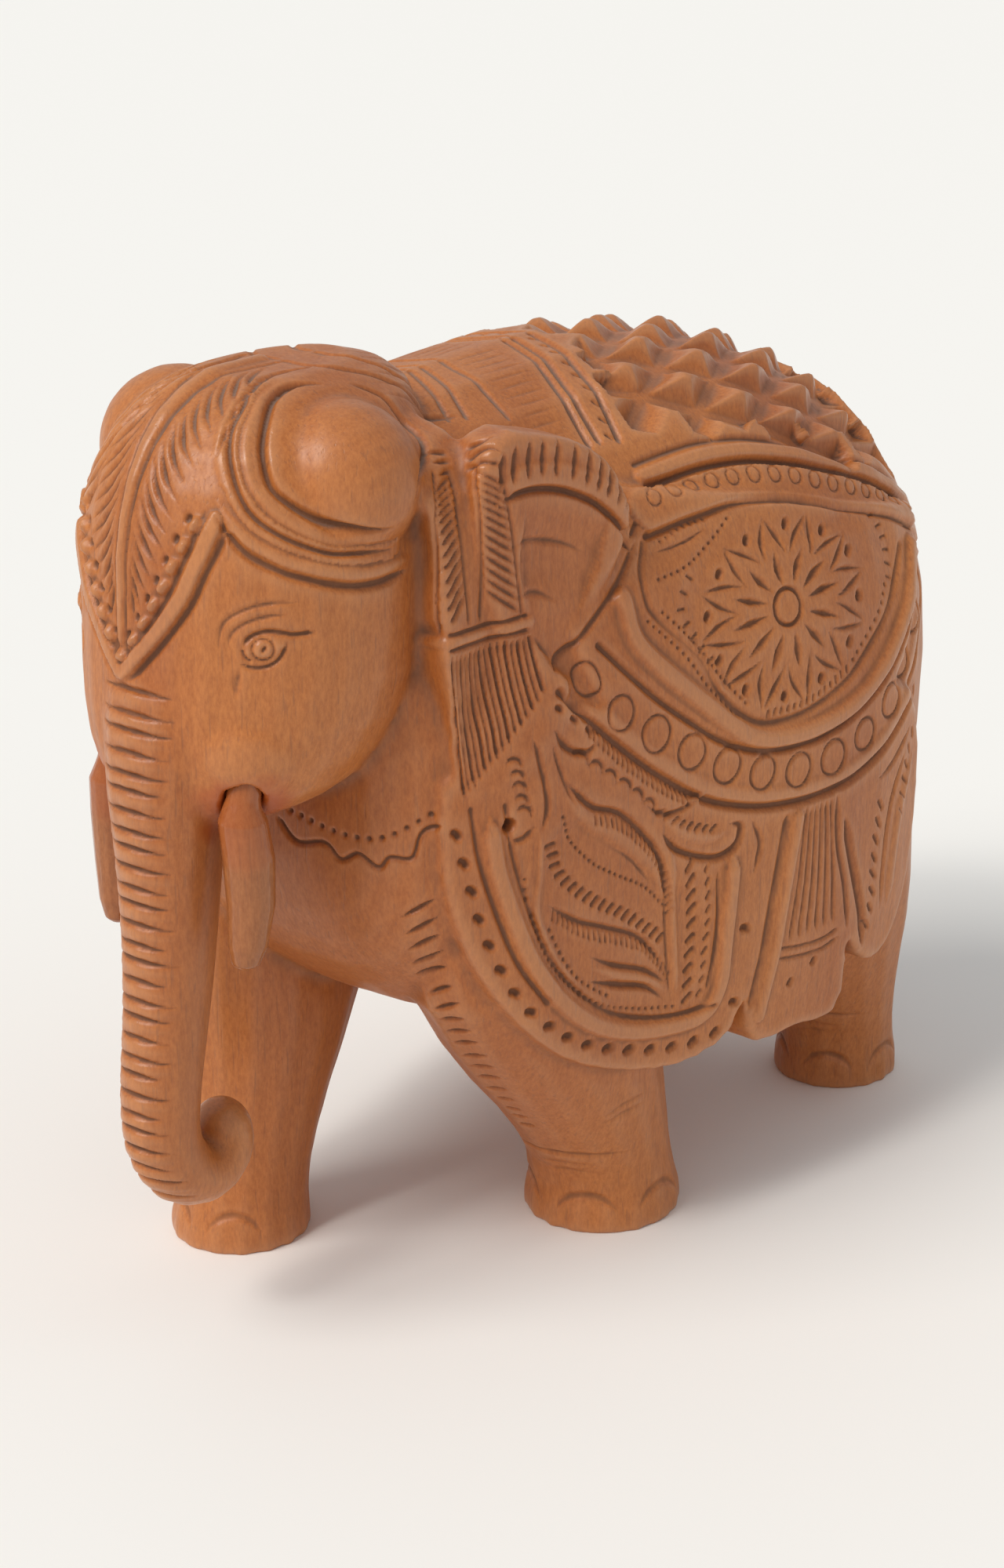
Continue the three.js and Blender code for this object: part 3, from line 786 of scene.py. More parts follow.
HOLE_LINE = [(-40.9, 70.4), (-40, 66.7), (-38.9, 62.4), (-37.8, 57.9), (-36.5, 54.2), (-34.9, 50.4),
             (-33.1, 46.9), (-30.8, 43.6), (-28.1, 41), (-24.9, 38.4), (-21.2, 36), (-16.9, 34),
             (-12.1, 32.3), (-7.3, 31), (-2.3, 30.1), (3.1, 30.2)]
CLOTH_RIM = [(-36.6, 72), (-35.6, 65), (-33.4, 57.6), (-30.4, 50.4), (-26, 44), (-20.4, 39), (-13.8, 35.8),
             (-6.8, 34.2), (-0.2, 34), (2.6, 37), (3.4, 44), (4.2, 52), (4.4, 57)]
LEAF_TOP = [(-25.6, 74.5), (-21.3, 70.1), (-16.3, 67.8), (-11.6, 63.3), (-8.9, 59.2), (-7.6, 53.6)]
LEAF_LOW = [(-26, 69.8), (-24.6, 66.2), (-22, 63.2), (-19.7, 61.2), (-16, 58.9), (-11.4, 56.1), (-8, 52.6)]
LEAF_MID = [(-28.3, 58.1), (-23.1, 54.3), (-18.1, 52), (-12, 48.8), (-7.8, 43.8)]


def carve_shoulder_cloth(work, on):
    """The cloth over the shoulder: drilled border, rolled rim, and long dotted and feathered leaves."""
    groove, roll, scratch, dots, ticks, holes, scallops = flank_tools(work, on,
                                                                      ("grooves", "raised", "fine"),
                                                                      ("dot", "tick", "hole", "scallop"))
    work.stroke("broad", on.flank, [(-21, 60), (-16, 52), (-10, 46)], 11, -0.4, edge=0.3)
    roll(CLOTH_RIM, 1.75, 0.85, edge=0.7, taper=0.03)
    groove([(-39, 73.5), (-37.9, 66.4), (-35.7, 58.8), (-32.6, 50.8), (-28.2, 44.2)], 0.6, -0.5)
    groove([(y + 2.1, z + 1.2) for y, z in CLOTH_RIM[:9]], 0.6, -0.5)
    holes(HOLE_LINE, 4.05, 1.0, turn=0.5)
    groove(LEAF_TOP, 0.75, -0.75, taper=0.12)
    roll([between(a, b, 0.35) for a, b in zip(LEAF_TOP, LEAF_LOW[:3] + LEAF_LOW[4:])], 2.0, 0.4, edge=0.9,
         taper=0.3)
    ticks([(y + 0.6, z - 2.0) for y, z in LEAF_TOP[1:]], 1.05, 1.15, turn=-1.1, weight=1.1)
    dots(LEAF_LOW, 1.1)
    scratch([(-18.2, 63.8), (-14, 60.6), (-9.8, 55.4)], 0.36, -0.3, taper=0.4)
    ticks([(-28, 66.2), (-25.8, 61.2), (-20.5, 56.6), (-14.9, 53), (-8.2, 47.8)], 1.6, 1.3, turn=1.25,
          weight=1.6)
    groove(LEAF_MID, 0.75, -0.7, taper=0.2)
    ticks([(y + 1.1, z - 1.9) for y, z in LEAF_MID], 1.05, 1.1, turn=-1.05, weight=1.1)
    groove([(-21.2, 48.8), (-16.6, 46.2), (-10.9, 43.8), (-6.4, 40.4)], 0.7, -0.6, taper=0.3)
    roll([(-21, 47.1), (-15.8, 44.6), (-10.8, 42.5), (-7, 39.6)], 0.9, 0.35, taper=0.3)
    groove([(-21.3, 45.2), (-15.6, 43), (-10.8, 41.3), (-7.3, 38.4)], 0.8, -0.8, taper=0.35)
    dots([(-27.8, 54.4), (-25.4, 49.5), (-22.4, 45.6), (-17.8, 42.2)], 1.25)
    dots([(-22.6, 43.7), (-17.8, 40.6), (-11.4, 38.2), (-5.6, 36.9)], 1.2)
    dots([(-30.6, 57), (-28.4, 51), (-25, 46.2), (-22.6, 44)], 1.2)
    dots([(-31.8, 62.5), (-31.4, 59.6)], 1.2)
    roll([(-29.6, 69.5), (-29.4, 63), (-29.8, 57), (-27, 50), (-22.8, 45)], 0.75, 0.3, taper=0.2)
    roll([(-7.2, 60.5), (-6.6, 53.5), (-5.9, 46.4), (-5.2, 38.4)], 0.9, 0.4, taper=0.15)
    scratch([(-8, 56), (-7.6, 50), (-7, 44), (-6.2, 38)], 0.4, -0.35, taper=0.2)
    ticks([(-3.6, 57), (-2.6, 49), (-3, 42), (-3.1, 37.4)], 2.15, 1.5, turn=2.25, weight=1.7)
    ticks([(-0.4, 56), (0.2, 49), (-0.4, 42), (-0.9, 37.6)], 1.9, 1.0, turn=2.5, weight=1.3)
    scratch([(1.6, 55), (1.9, 48), (1.2, 42), (0.2, 37.4)], 0.42, -0.45, taper=0.1)
    groove([(-9, 63.4), (-6.2, 60.2), (-2, 58), (1.9, 57), (5, 58), (5.6, 60.6), (3.4, 61.4)], 0.85, -0.9,
           taper=0.15)
    roll([(-9.4, 66), (-5, 62.4), (0, 60.4), (3, 60.6)], 1.5, 0.4, taper=0.3)
    ticks([(-9.2, 66.2), (-4.6, 63.2), (0.4, 61.4)], 1.5, 1.2, turn=0.9, weight=1.2)
    ticks([(-21.4, 80.4), (-14.8, 74), (-7.6, 68.6), (-4.4, 66.8)], 1.1, 1.25, turn=-0.95, weight=1.3)
    groove([(-12.4, 68.4), (-8.8, 65.9), (-5.2, 65.8), (-2, 66.6)], 0.6, -0.55, taper=0.3)
    scallops([(-23, 76.8), (-18.4, 73.4), (-14.4, 70.2), (-11.4, 67.6)], 2.8, 1.0, turn=0)
    holes([(-26.4, 84.6), (-23.6, 82.4), (-21.4, 80.6)], 2.6, 0.7, weight=0.8)
    groove([(-27.5, 82.2), (-25, 78.9), (-22, 77.7), (-19.8, 79)], 0.8, -0.75, taper=0.3)
    groove([(-30.6, 81.6), (-29, 76), (-28.6, 71.4), (-29.6, 68.6)], 0.65, -0.6, taper=0.2)
    scratch([(-27.8, 80.6), (-25.6, 74), (-23.6, 70)], 0.45, -0.4, taper=0.3)
    scallops([(-33.4, 78.4), (-32.6, 75), (-32, 71.6)], 1.7, 0.85, turn=0.9)
    work.spot("drill", on.flank, (-34, 70.3), 1.0)
    groove([(-34.2, 68.3), (-32.2, 68.2), (-30.4, 69.6)], 0.7, -0.5, taper=0.3)


def carve_hanging_tassel(work, on):
    """The long fringe below the saddle, with its sharp fold in front, and the panel over the thigh."""
    groove, roll, scratch, ticks = flank_tools(work, on, ("grooves", "raised", "fine"), ("tick",))
    roll([(17.4, 60), (15.8, 51.5), (14, 42), (11.6, 29)], 1.5, 0.7, edge=0.9, taper=0.03)
    groove([(15.1, 60), (13.4, 51.5), (11.5, 42), (9.2, 29.6)], 1.0, -0.6, taper=0.05)
    for k in range(6):
        top, foot = 19 + 1.05 * k, 16.4 + 1.9 * k
        scratch([(top, 60), ((top + foot) / 2 + 0.3, 49), (foot, 40)], 0.45, -0.4, taper=0.08)
    for z in (39.2, 37.6):
        scratch([(14.2, z + 0.6), (19.4, z - 0.4), (24.2, z - 0.8), (27.6, z)], 0.45, -0.42, taper=0.1)
    groove([(25.6, 60), (26.4, 52), (28.4, 45), (29.6, 38)], 0.7, -0.55, taper=0.15)
    groove([(7.6, 61), (9.6, 57), (8.4, 52.6)], 0.7, -0.5, taper=0.3)
    work.spot("pit", on.flank, (17.6, 33.4))
    work.spot("pit", on.flank, (22.4, 35.2))
    work.row("hole", on.flank, [(7.2, 45), (7, 39), (6.2, 34)], 5.6, 0.9, turn=1.4)
    groove([(27.6, 56), (29.6, 49.6), (31.6, 44), (33.6, 38), (34.4, 33.6)], 1.1, -0.95, taper=0.15)
    ticks([(36.6, 55), (35.6, 48), (35.4, 42), (34.8, 37)], 2.4, 1.4, turn=0.7, weight=1.6)
    groove([(44, 61), (40, 54), (38.6, 46), (38.2, 38)], 0.7, -0.5, taper=0.2)
    roll([(47.5, 60), (43.4, 53), (41.6, 45), (40.6, 38)], 1.6, 0.4, taper=0.15)
    ticks([(50, 68), (45, 60), (43, 52)], 2.2, 1.2, turn=0.9, weight=1.2)
    groove([(35, 59), (40, 60.4), (46, 64.6)], 0.6, -0.4, taper=0.3)


LEG_DASHES = [(22.6, -42.2, 61.5), (22.4, -40.7, 55.5), (21.8, -38.9, 49.8), (22.3, -36.8, 44.2),
              (22.2, -34.2, 39.2), (22.1, -30.6, 34), (21.2, -26.5, 28.8), (20, -22, 23.6),
              (19.6, -18.6, 19.4)]


NAIL = [(-25, 2.7), (-21, 4.0), (-12, 5.3), (0, 5.8), (12, 5.3), (21, 4.0), (25, 2.7)]


def carve_legs(work, on):
    """Dashes down the front of the foreleg, creases over the ankles and nails on every foot."""
    line = smooth_line(LEG_DASHES, 20)
    picks = np.linspace(0, len(line) - 1, 18).astype(int)
    for k, (x, y, z) in enumerate(line[picks]):
        reach = 1.15 if k < 14 else 0.9
        work.stroke("grooves", on.near, [(x - 2.9 * reach, y - 2.1 * reach, z - 2.5),
                                         (x - 1.3, y - 1.1, z - 1.2), (x + 0.3, y + 0.3, z)], 0.6, -0.72,
                    taper=0.35)
    for side, middle in ((1, (17, 0.4)), (-1, (-17.3, -38.4)), (1, (16.5, 59.4)), (-1, (-17, 44.4))):
        around = on.foot(middle)
        for turn in NAIL_TURNS:
            nail = [(turn * side + across, rise) for across, rise in NAIL]
            work.stroke("grooves", around, nail, 0.9, -0.32, edge=0.8, taper=0.3, sides=(1,))
        for z, reach in ((13.2, 46), (11.2, 22), (9.8, 16)):
            work.stroke("grooves", around, [(side * 15 - reach, z - 0.4), (side * 15, z + 0.3),
                                            (side * 15 + reach, z)], 0.95, -0.45 if z > 12 else -0.22,
                        taper=0.5, sides=(1,))
    for z in (21.7, 20.2):
        work.stroke("grooves", on.flank, [(-12.5, z - 0.8), (-9, z + 0.2), (-4.6, z + 0.6)], 0.8, -0.25,
                    taper=0.4)


TAIL_LINE = [(71, 60), (69, 52), (66.5, 44), (63.5, 36.5)]


def carve_tail(work, on):
    """Rings round the upper tail and long hairs down the tuft."""
    for k in range(-1, 2):
        hairs = [(1.1 * k + 0.4, y + 3 - abs(k), z) for y, z in TAIL_LINE]
        work.stroke("fine", on.near, hairs, 0.5, -0.45, taper=0.1)
    for z in (63.5, 61.8):
        work.stroke("fine", on.near, [(0, 75.5, z), (1.6, 74.4, z), (2.4, 72.4, z + 0.2)], 0.5, -0.45,
                    taper=0.05)


def carve_necklace(work, on):
    """A scalloped collar round the throat with a row of drilled dots."""
    edge = [(2, -49.1, 69.6), (5.2, -49.1, 67), (9.9, -48.9, 67.9), (12.4, -48.5, 66.1), (15, -48, 67.4),
            (17.6, -47, 65.9), (19, -46.4, 67.4), (21.4, -44.8, 67.4), (22.3, -43.9, 70.6),
            (24.4, -42.5, 72)]
    work.stroke("fine", on.near, edge, 0.5, -0.6, taper=0.03)
    dots = [(4.4, -49.1, 71), (7.4, -49.1, 70.6), (11, -48.8, 69.9), (14.7, -48.1, 69.6),
            (18.3, -46.9, 70.1), (21, -45, 71.6), (23.2, -43.2, 73.2)]
    work.row("dot", on.near, dots, 1.75, weight=1.25)


# ---------------------------------------------------------------- carving

def mark_shapes():
    ring = [(math.cos(a), math.sin(a)) for a in np.linspace(0, 2 * math.pi, 25)]
    scallop = [(1.3 * math.cos(a), 1.1 * math.sin(a)) for a in np.linspace(-0.2, math.pi + 0.2, 9)]
    return {
        "dot": mark_mesh("dot", [[(0, 0), (0.05, 0)]], 0.42, -0.5, 0),
        "pit": mark_mesh("pit", [[(0, 0), (0.3, 0.1)]], 0.62, -0.75, 0),
        "hole": mark_mesh("hole", [[(-0.35, 0), (0.1, 0.1), (0.5, 0)]], 0.85, -0.95, 0),
        "drill": mark_mesh("drill", [[(0, 0), (0.1, 0)]], 1.0, -2.2, 0),
        "tick": mark_mesh("tick", [[(-1, 0), (-0.3, 0.12), (0.4, 0.12), (1, 0)]], 0.42, -0.45, 0.5),
        "ring": mark_mesh("ring", [ring], 0.3, -0.38, 0),
        "scallop": mark_mesh("scallop", [scallop], 0.5, -0.5, 0.3),
        "bead": mark_mesh("bead", [[(-0.3, 0), (0.3, 0)]], 1.1, 0.95, 0),
    }


def laid_rows(work, form):
    """Runs the row tree once for each mark; gives the plain lines, sorted by layer."""
    tree = rows_tree()
    laid = {layer: [] for layer in LAYERS}
    for seed, (mark, mesh) in enumerate(mark_shapes().items()):
        guides = work.guides[mark]
        lines = [guide[0] for guide in guides]
        values = {label: [np.full(len(guide[0]), guide[place], float) for guide in guides]
                  for place, label in enumerate(("spacing", "size", "turn", "weight"), start=1)}
        holder = linked("rows_of_" + mark, line_mesh("guides", lines, values))
        sample = linked(mark, mesh)
        fit(holder, tree, mark=sample, form=form, seed=seed)
        applied(holder)
        bpy.data.objects.remove(sample)
        laid[MARKS[mark]].append(holder)
    return laid


def layer_object(layer, strokes, rows):
    lines, widths, heights, edges = zip(*strokes) if strokes else ([], [], [], [])
    parts = list(rows)
    if strokes:
        parts.append(linked(layer, line_mesh(layer, lines, {
            "half_width": widths, "height": heights, "edge": edges})))
    joined = parts[-1]
    if len(parts) > 1:
        with bpy.context.temp_override(active_object=joined, selected_editable_objects=parts,
                                       selected_objects=parts):
            bpy.ops.object.join()
    return joined


def carved(form, wood):
    """Lays out every stroke on the form and cuts them, one layer after another."""
    mesh = form.data
    on = Surface(mesh)
    work = Carving(on)
    for region in (carve_trunk, carve_bonnet, carve_straps, carve_crown, carve_eye, carve_strap_and_tassel,
                   carve_ear, carve_back, carve_belt, carve_rosette, carve_saddle, carve_shoulder_cloth,
                   carve_hanging_tassel, carve_legs, carve_tail, carve_necklace):
        region(work, on)
    rows = laid_rows(work, form)
    lift = normals(mesh)
    mean = neighbour_mean(mesh)
    for _ in range(LIFT_ROUNDS):
        lift = mean(lift)
    lift /= np.linalg.norm(lift, axis=1)[:, None]
    mesh.attributes.new("rest", "FLOAT_VECTOR", "POINT").data.foreach_set("vector", positions(mesh).ravel())
    mesh.attributes.new("lift", "FLOAT_VECTOR", "POINT").data.foreach_set("vector", lift.ravel())
    mesh.attributes.new("relief", "FLOAT", "POINT")
    tree = carve_tree()
    holders = []
    for layer, softness in LAYERS.items():
        holder = layer_object(layer, work.strokes[layer], rows[layer])
        fit(form, tree, strokes=holder, softness=softness)
        holders.append(holder)
    fit(form, relief_tree(), knife_marks=KNIFE_MARKS, mark_size=KNIFE_MARK_SIZE, material=wood)
    applied(form)
    for holder in holders:
        bpy.data.objects.remove(holder)
    return form


def notice_hollows(mesh):
    """Stores how deep every point lies below the surface just around it, and below the wider surface."""
    place, out = positions(mesh), normals(mesh)
    mean = neighbour_mean(mesh)
    around = place.copy()
    for label, rounds in (("hollow", HOLLOW_ROUNDS), ("deep", DEEP_ROUNDS)):
        for _ in range(rounds):
            around = mean(around)
        depth = ((around - place) * out).sum(axis=1) / MM
        mesh.attributes.new(label, "FLOAT", "POINT").data.foreach_set("value", depth)
    mesh.attributes.new("facing", "FLOAT_VECTOR", "POINT").data.foreach_set("vector", out.ravel())
    for label in ("rest", "lift", "half_width", "height", "edge"):
        if label in mesh.attributes:
            mesh.attributes.remove(mesh.attributes[label])


def seam_tree(mesh, cuts):
    """A search tree of the points of the whole surface that lie close to a cut."""
    place = positions(mesh)
    close = np.flatnonzero(np.abs(place[:, 1:2] - np.array(cuts)).min(axis=1) < SEAM_REACH * MM)
    tree = KDTree(len(close))
    for index in close:
        tree.insert(place[index], index)
    tree.balance()
    return tree


def mend_seams(piece, whole, tree):
    """Gives the points along a cut the facing and the depths of the whole surface, so that no seam shows."""
    facing = np.empty(len(piece.vertices) * 3)
    piece.attributes["facing"].data.foreach_get("vector", facing)
    facing = facing.reshape(-1, 3)
    for k in np.flatnonzero(np.abs(np.linalg.norm(facing, axis=1) - 1) > FACING_ERROR):
        _, nearest, _ = tree.find(piece.vertices[int(k)].co)
        facing[k] = whole.attributes["facing"].data[nearest].vector
        for label in ("hollow", "deep"):
            piece.attributes[label].data[int(k)].value = whole.attributes[label].data[nearest].value
    piece.attributes.remove(piece.attributes["facing"])
    piece.shade_smooth()
    piece.normals_split_custom_set_from_vertices(facing)


def cut_across(form):
    """Cuts the finished form into closed pieces, each small enough to keep every facet."""
    low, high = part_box("carved_block")
    places = positions(form.data)
    triangles = sum(len(face.vertices) - 2 for face in form.data.polygons)
    count = math.ceil(triangles / PIECE_TRIANGLES)
    cuts = np.quantile(places[:, 1], np.linspace(0, 1, count + 1)[1:-1])
    stops = [low[1] - SLAB_MARGIN, *cuts, high[1] + SLAB_MARGIN]
    tree = seam_tree(form.data, cuts)
    pieces = []
    for k, (start, stop) in enumerate(zip(stops, stops[1:])):
        box = bmesh.new()
        bmesh.ops.create_cube(box, size=1)
        for corner in box.verts:
            corner.co = Vector((corner.co.x * SLAB_SPAN, start if corner.co.y < 0 else stop,
                                corner.co.z * SLAB_SPAN + SLAB_HEIGHT))
        slab_mesh = bpy.data.meshes.new("slab")
        box.to_mesh(slab_mesh)
        box.free()
        slab = linked("slab", slab_mesh)
        piece = linked("carving_%02d" % (k + 1), form.data.copy())
        keep = piece.modifiers.new("keep", "BOOLEAN")
        keep.operation, keep.solver, keep.object = "INTERSECT", "MANIFOLD", slab
        applied(piece)
        bpy.data.objects.remove(slab)
        mend_seams(piece.data, form.data, tree)
        pieces.append(piece)
    bpy.data.objects.remove(form)
    return pieces


# ---------------------------------------------------------------- finishes

def grain_group():
    """Upright wood grain: fine streaks, dark pores and the slow figure of the block."""
    tree, given, output = new_tree("upright_grain", "ShaderNodeTree", [
        ("Place", "NodeSocketVector", None), ("Streaks Per Metre", "NodeSocketFloat", 900.0),
        ("Stretch", "NodeSocketFloat", 0.09), ("Figure Size", "NodeSocketFloat", 0.04)],
        [("Streaks", "NodeSocketFloat"), ("Pores", "NodeSocketFloat"), ("Figure", "NodeSocketFloat"),
         ("Speckle", "NodeSocketFloat")])
    squeeze = add(tree, "ShaderNodeCombineXYZ", {0: 1.0, 1: 1.0, 2: given["Stretch"]}).outputs[0]
    drawn = vectors(tree, "MULTIPLY", given["Place"], squeeze)
    streaks = add(tree, "ShaderNodeTexNoise", {"Vector": drawn, "Scale": given["Streaks Per Metre"],
                  "Detail": 4.0, "Roughness": 0.65}).outputs[0]
    finer = sums(tree, "MULTIPLY", given["Streaks Per Metre"], 2.6)
    flecks = add(tree, "ShaderNodeTexNoise", {"Vector": drawn, "Scale": finer, "Detail": 1.0}).outputs[0]
    pores = add(tree, "ShaderNodeMapRange", {"Value": flecks, 1: 0.6, 2: 0.74}).outputs[0]
    slow = sums(tree, "DIVIDE", 1.0, given["Figure Size"])
    figure = add(tree, "ShaderNodeTexNoise", {"Vector": drawn, "Scale": slow, "Detail": 2.0,
                 "Distortion": 0.6}).outputs[0]
    spread = add(tree, "ShaderNodeMapRange", {"Value": figure, 1: 0.3, 2: 0.7}).outputs[0]
    shorter = vectors(tree, "MULTIPLY", given["Place"], (1.0, 1.0, 0.4))
    dots = add(tree, "ShaderNodeTexNoise", {"Vector": shorter, "Scale": sums(tree, "MULTIPLY",
               given["Streaks Per Metre"], 2.2), "Detail": 3.0, "Roughness": 0.7}).outputs[0]
    speckle = add(tree, "ShaderNodeMapRange", {"Value": dots, 1: 0.35, 2: 0.68}).outputs[0]
    return finished_with(tree, output, {"Streaks": streaks, "Pores": pores, "Figure": spread,
                                        "Speckle": speckle})


def patina_wear_and_painted_light_group():
    """Darkness in the cuts, partly patina and partly painted shade; shine and a lighter colour on what stands
    proud, partly wear from rubbing and partly a painted highlight; dust on top.
    """
    tree, given, output = new_tree("patina_wear_and_painted_light", "ShaderNodeTree", [
        ("Place", "NodeSocketVector", None), ("Hollow", "NodeSocketFloat", 0.0),
        ("Deep", "NodeSocketFloat", 0.0), ("Patchiness", "NodeSocketFloat", 0.5)],
        [("Dark", "NodeSocketFloat"), ("Polish", "NodeSocketFloat"), ("Dust", "NodeSocketFloat")])
    patches = add(tree, "ShaderNodeTexNoise", {"Vector": given["Place"], "Scale": 260.0,
                                               "Detail": 3.0}).outputs[0]
    uneven = sums(tree, "MULTIPLY", sums(tree, "SUBTRACT", patches, 0.5), given["Patchiness"])
    # Narrow and wide hollows are darkened in colour: partly patina, partly painted shade.
    narrow = add(tree, "ShaderNodeMapRange", {"Value": given["Hollow"], 1: 0.015, 2: 0.2}).outputs[0]
    wide = add(tree, "ShaderNodeMapRange", {"Value": given["Deep"], 1: 0.05, 2: 0.55}).outputs[0]
    cuts = sums(tree, "MAXIMUM", narrow, wide)
    dark = sums(tree, "MULTIPLY", cuts, sums(tree, "ADD", 1.0, uneven), clamp=True)
    # What stands proud is lightened in colour, partly wear and partly a painted highlight; the same mask also
    # lowers the roughness.
    proud = add(tree, "ShaderNodeMapRange", {"Value": given["Deep"], 1: -0.03, 2: -0.3}).outputs[0]
    polish_and_painted_highlight = sums(tree, "MULTIPLY", proud, sums(tree, "ADD", 1.0, uneven), clamp=True)
    normal = add(tree, "ShaderNodeNewGeometry").outputs["Normal"]
    upward = add(tree, "ShaderNodeSeparateXYZ", {0: normal}).outputs[2]
    lying = add(tree, "ShaderNodeMapRange", {"Value": upward, 1: 0.45, 2: 0.95}).outputs[0]
    height = add(tree, "ShaderNodeSeparateXYZ", {0: given["Place"]}).outputs[2]
    high = add(tree, "ShaderNodeMapRange", {"Value": height, 1: 0.095, 2: 0.115}).outputs[0]
    dust = sums(tree, "MULTIPLY", sums(tree, "MULTIPLY", lying, high), dark, clamp=True)
    return finished_with(tree, output, {"Dark": dark, "Polish": polish_and_painted_highlight, "Dust": dust})


def stain_group():
    """The orange stain that glue left in the wood round the tusk sockets."""
    tree, given, output = new_tree("socket_stain", "ShaderNodeTree", [
        ("Place", "NodeSocketVector", None), ("Left Socket", "NodeSocketVector", None),
        ("Right Socket", "NodeSocketVector", None), ("Reach", "NodeSocketFloat", 0.0095)],
        [("Stain", "NodeSocketFloat")])
    near = [add(tree, "ShaderNodeVectorMath", {0: given["Place"], 1: given[label]},
                operation="DISTANCE").outputs[1]
            for label in ("Left Socket", "Right Socket")]
    closest = sums(tree, "MINIMUM", *near)
    blotch = add(tree, "ShaderNodeTexNoise", {"Vector": given["Place"], "Scale": 190.0,
                                              "Detail": 3.0}).outputs[0]
    edge = sums(tree, "MULTIPLY", given["Reach"], sums(tree, "ADD", blotch, 0.35))
    stain = add(tree, "ShaderNodeMapRange", {"Value": closest, 1: edge,
                                             2: sums(tree, "MULTIPLY", edge, 0.45)},
                interpolation_type="SMOOTHSTEP").outputs[0]
    return finished_with(tree, output, {"Stain": stain})


def group_node(tree, group, links):
    return add(tree, "ShaderNodeGroup", links, node_tree=group).outputs


def blend(tree, amount, first, second, mode="MIX"):
    first, second = [(*colour, 1) if isinstance(colour, tuple) else colour for colour in (first, second)]
    return add(tree, "ShaderNodeMix", {0: amount, 6: first, 7: second}, data_type="RGBA",
               blend_type=mode).outputs[2]


def oiled_wood(name, pale, warm, shade, roughness, sockets, stained=0.0):
    """Oiled carving wood: grain, figure, dark in the cuts (patina and painted shade), a lighter colour on the
    ridges (wear and a painted highlight), stain at the sockets.
    """
    material = bpy.data.materials.new(name)
    material.use_nodes = True
    tree = material.node_tree
    shader = tree.nodes["Principled BSDF"]
    place = add(tree, "ShaderNodeTexCoord").outputs["Object"]
    hollow = add(tree, "ShaderNodeAttribute", attribute_name="hollow").outputs["Fac"]
    deep = add(tree, "ShaderNodeAttribute", attribute_name="deep").outputs["Fac"]
    grain = group_node(tree, GRAIN, {"Place": place})
    patina_wear_and_painted_light_masks = group_node(tree, PATINA_WEAR_AND_PAINTED_LIGHT, {"Place": place, "Hollow": hollow, "Deep": deep})
    stain = group_node(tree, STAIN, {"Place": place, "Left Socket": sockets[0], "Right Socket": sockets[1]})
    colour = blend(tree, grain["Figure"], pale, warm)
    streak = sums(tree, "MULTIPLY", grain["Streaks"], 0.6)
    colour = blend(tree, streak, colour, shade, "MULTIPLY")
    colour = blend(tree, sums(tree, "MULTIPLY", grain["Speckle"], 0.6), colour, shade, "MULTIPLY")
    colour = blend(tree, sums(tree, "MULTIPLY", grain["Pores"], 0.35), colour, DARK_PORES)
    # Painted highlight on the proud parts, over real wear.
    colour = blend(tree, sums(tree, "MULTIPLY", patina_wear_and_painted_light_masks["Polish"], 0.3), colour, POLISH_AND_PAINTED_HIGHLIGHT)
    # Painted shade in the cuts, over real patina.
    colour = blend(tree, sums(tree, "MULTIPLY", patina_wear_and_painted_light_masks["Dark"], 0.82), colour, PATINA_AND_PAINTED_SHADE)
    colour = blend(tree, sums(tree, "MULTIPLY", patina_wear_and_painted_light_masks["Dust"], 0.3), colour, DUST)
    colour = blend(tree, sums(tree, "MULTIPLY", stain["Stain"], stained), colour, GLUE_STAIN)
    tree.links.new(colour, shader.inputs["Base Color"])
    dulled = sums(tree, "MULTIPLY", patina_wear_and_painted_light_masks["Dark"], 0.3)
    shine = sums(tree, "MULTIPLY", patina_wear_and_painted_light_masks["Polish"], -0.1)
    fleck = sums(tree, "MULTIPLY", sums(tree, "SUBTRACT", grain["Streaks"], 0.5), 0.25)
    rough = sums(tree, "ADD", sums(tree, "ADD", dulled, shine), sums(tree, "ADD", fleck, roughness))
    tree.links.new(rough, shader.inputs["Roughness"])
    heights = sums(tree, "SUBTRACT", grain["Streaks"], sums(tree, "MULTIPLY", grain["Pores"], 0.8))
    bump = add(tree, "ShaderNodeBump", {"Height": heights, "Strength": 0.35, "Distance": 0.00007})
    tree.links.new(bump.outputs[0], shader.inputs["Normal"])
    shader.inputs["IOR"].default_value = 1.48
    return material


def smooth_tusk(node, material):
    tusk = regridded(merged_copy(node, "whittled_" + node), TUSK_GRID)
    eased(tusk.data, TUSK_ROUNDS)
    tusk.data.materials.append(material)
    tusk.data.shade_smooth()
    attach(tusk, "root")
    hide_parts(node)


# ---------------------------------------------------------------- stage

def toward(turn, rise):
    """The direction that leads away from the middle of the stage; both angles are in radians."""
    return Vector((math.sin(turn) * math.cos(rise), -math.cos(turn) * math.cos(rise), math.sin(rise)))


def make_camera():
    data = bpy.data.cameras.new("camera")
    data.lens = LENS
    data.sensor_width = SENSOR
    camera = bpy.data.objects.new("camera", data)
    back = toward(VIEW_TURN, VIEW_RISE)
    camera.location = VIEW_TARGET + back * VIEW_REACH
    camera.rotation_mode = "QUATERNION"
    camera.rotation_quaternion = (-back).to_track_quat("-Z", "Y")
    data.clip_start = 0.01
    bpy.context.collection.objects.link(camera)
    bpy.context.scene.camera = camera


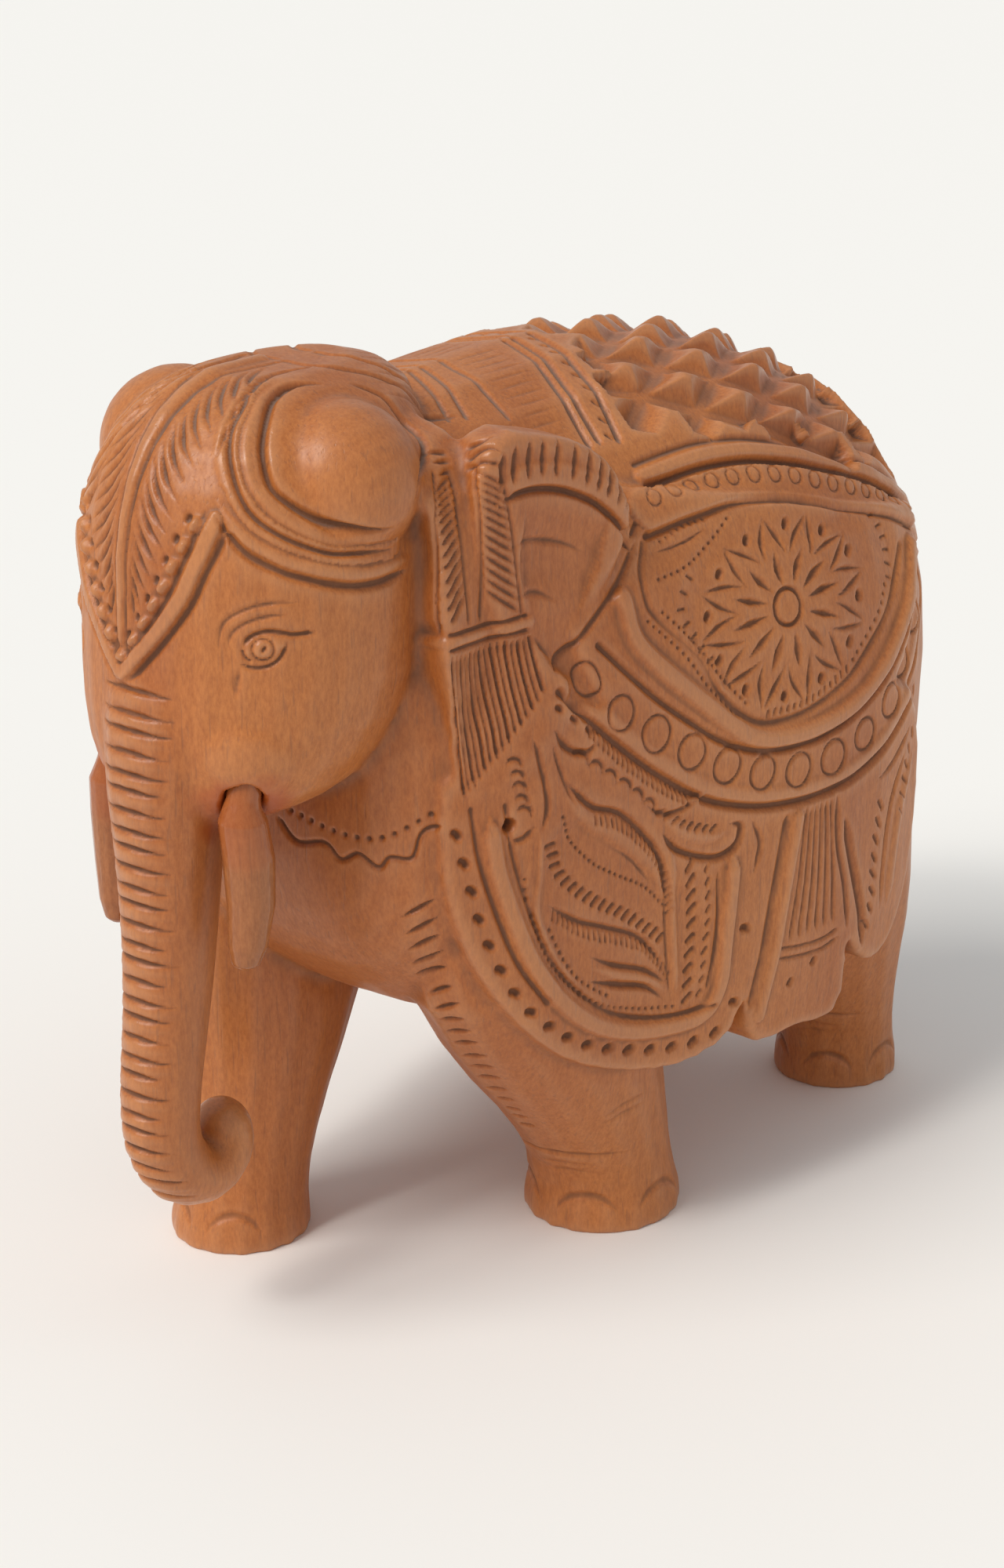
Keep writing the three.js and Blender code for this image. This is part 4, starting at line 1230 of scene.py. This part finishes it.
def make_sun(name, turn, rise, strength, spread):
    """A broad lamp far off, so that the floor is evenly lit; turn is measured from the camera, leftward."""
    data = bpy.data.lights.new(name, "SUN")
    data.energy = strength
    data.angle = math.radians(spread)
    data.color = LAMP_COLOUR
    lamp = bpy.data.objects.new(name, data)
    way = toward(VIEW_TURN - math.radians(turn), math.radians(rise))
    lamp.rotation_mode = "QUATERNION"
    lamp.rotation_quaternion = (-way).to_track_quat("-Z", "Y")
    bpy.context.collection.objects.link(lamp)


def make_stage():
    """A pale floor that is lit evenly from all round, and soft lights above and in front."""
    bpy.context.scene.view_settings.view_transform = "Standard"
    world = bpy.data.worlds.new("studio")
    world.use_nodes = True
    sky = world.node_tree.nodes["Background"]
    sky.inputs["Color"].default_value = SKY
    sky.inputs["Strength"].default_value = SKY_STRENGTH
    bpy.context.scene.world = world
    floor_mesh = bpy.data.meshes.new("floor")
    corners = [(x * FLOOR_REACH, y * FLOOR_REACH, 0) for x, y in ((-1, -1), (1, -1), (1, 1), (-1, 1))]
    floor_mesh.from_pydata(corners, [], [(0, 1, 2, 3)])
    floor = linked("floor", floor_mesh)
    paper = bpy.data.materials.new("paper")
    paper.use_nodes = True
    shader = paper.node_tree.nodes["Principled BSDF"]
    shader.inputs["Base Color"].default_value = FLOOR_PAPER
    shader.inputs["Roughness"].default_value = 0.9
    floor_mesh.materials.append(paper)
    make_sun("window", turn=55, rise=48, strength=1.6, spread=34)
    make_sun("shine", turn=42, rise=50, strength=0.5, spread=9)


# ---------------------------------------------------------------- assembly

GRAIN, PATINA_WEAR_AND_PAINTED_LIGHT, STAIN = grain_group(), patina_wear_and_painted_light_group(), stain_group()
tusk_boxes = [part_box("tusk_left"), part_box("tusk_right")]
sockets = [((low[0] + high[0]) / 2, (low[1] + high[1]) / 2, high[2] - SOCKET_DEPTH * MM)
           for low, high in tusk_boxes]
carved_wood = oiled_wood("carved_wood", PALE_WOOD, WARM_WOOD, GRAIN_SHADE, 0.43, sockets, stained=0.85)
tusk_wood = oiled_wood("tusk_wood", TUSK_PALE, TUSK_WARM, GRAIN_SHADE, 0.2, sockets, stained=0.35)

form = carved(worked_form(), carved_wood)
eased(form.data, 1)
# These depths later darken the cuts in colour: patina and painted shade.
notice_hollows(form.data)
for piece in cut_across(form):
    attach(piece, "root")
    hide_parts("carved_block")
for node in ("tusk_left", "tusk_right"):
    smooth_tusk(node, tusk_wood)
make_camera()
make_stage()
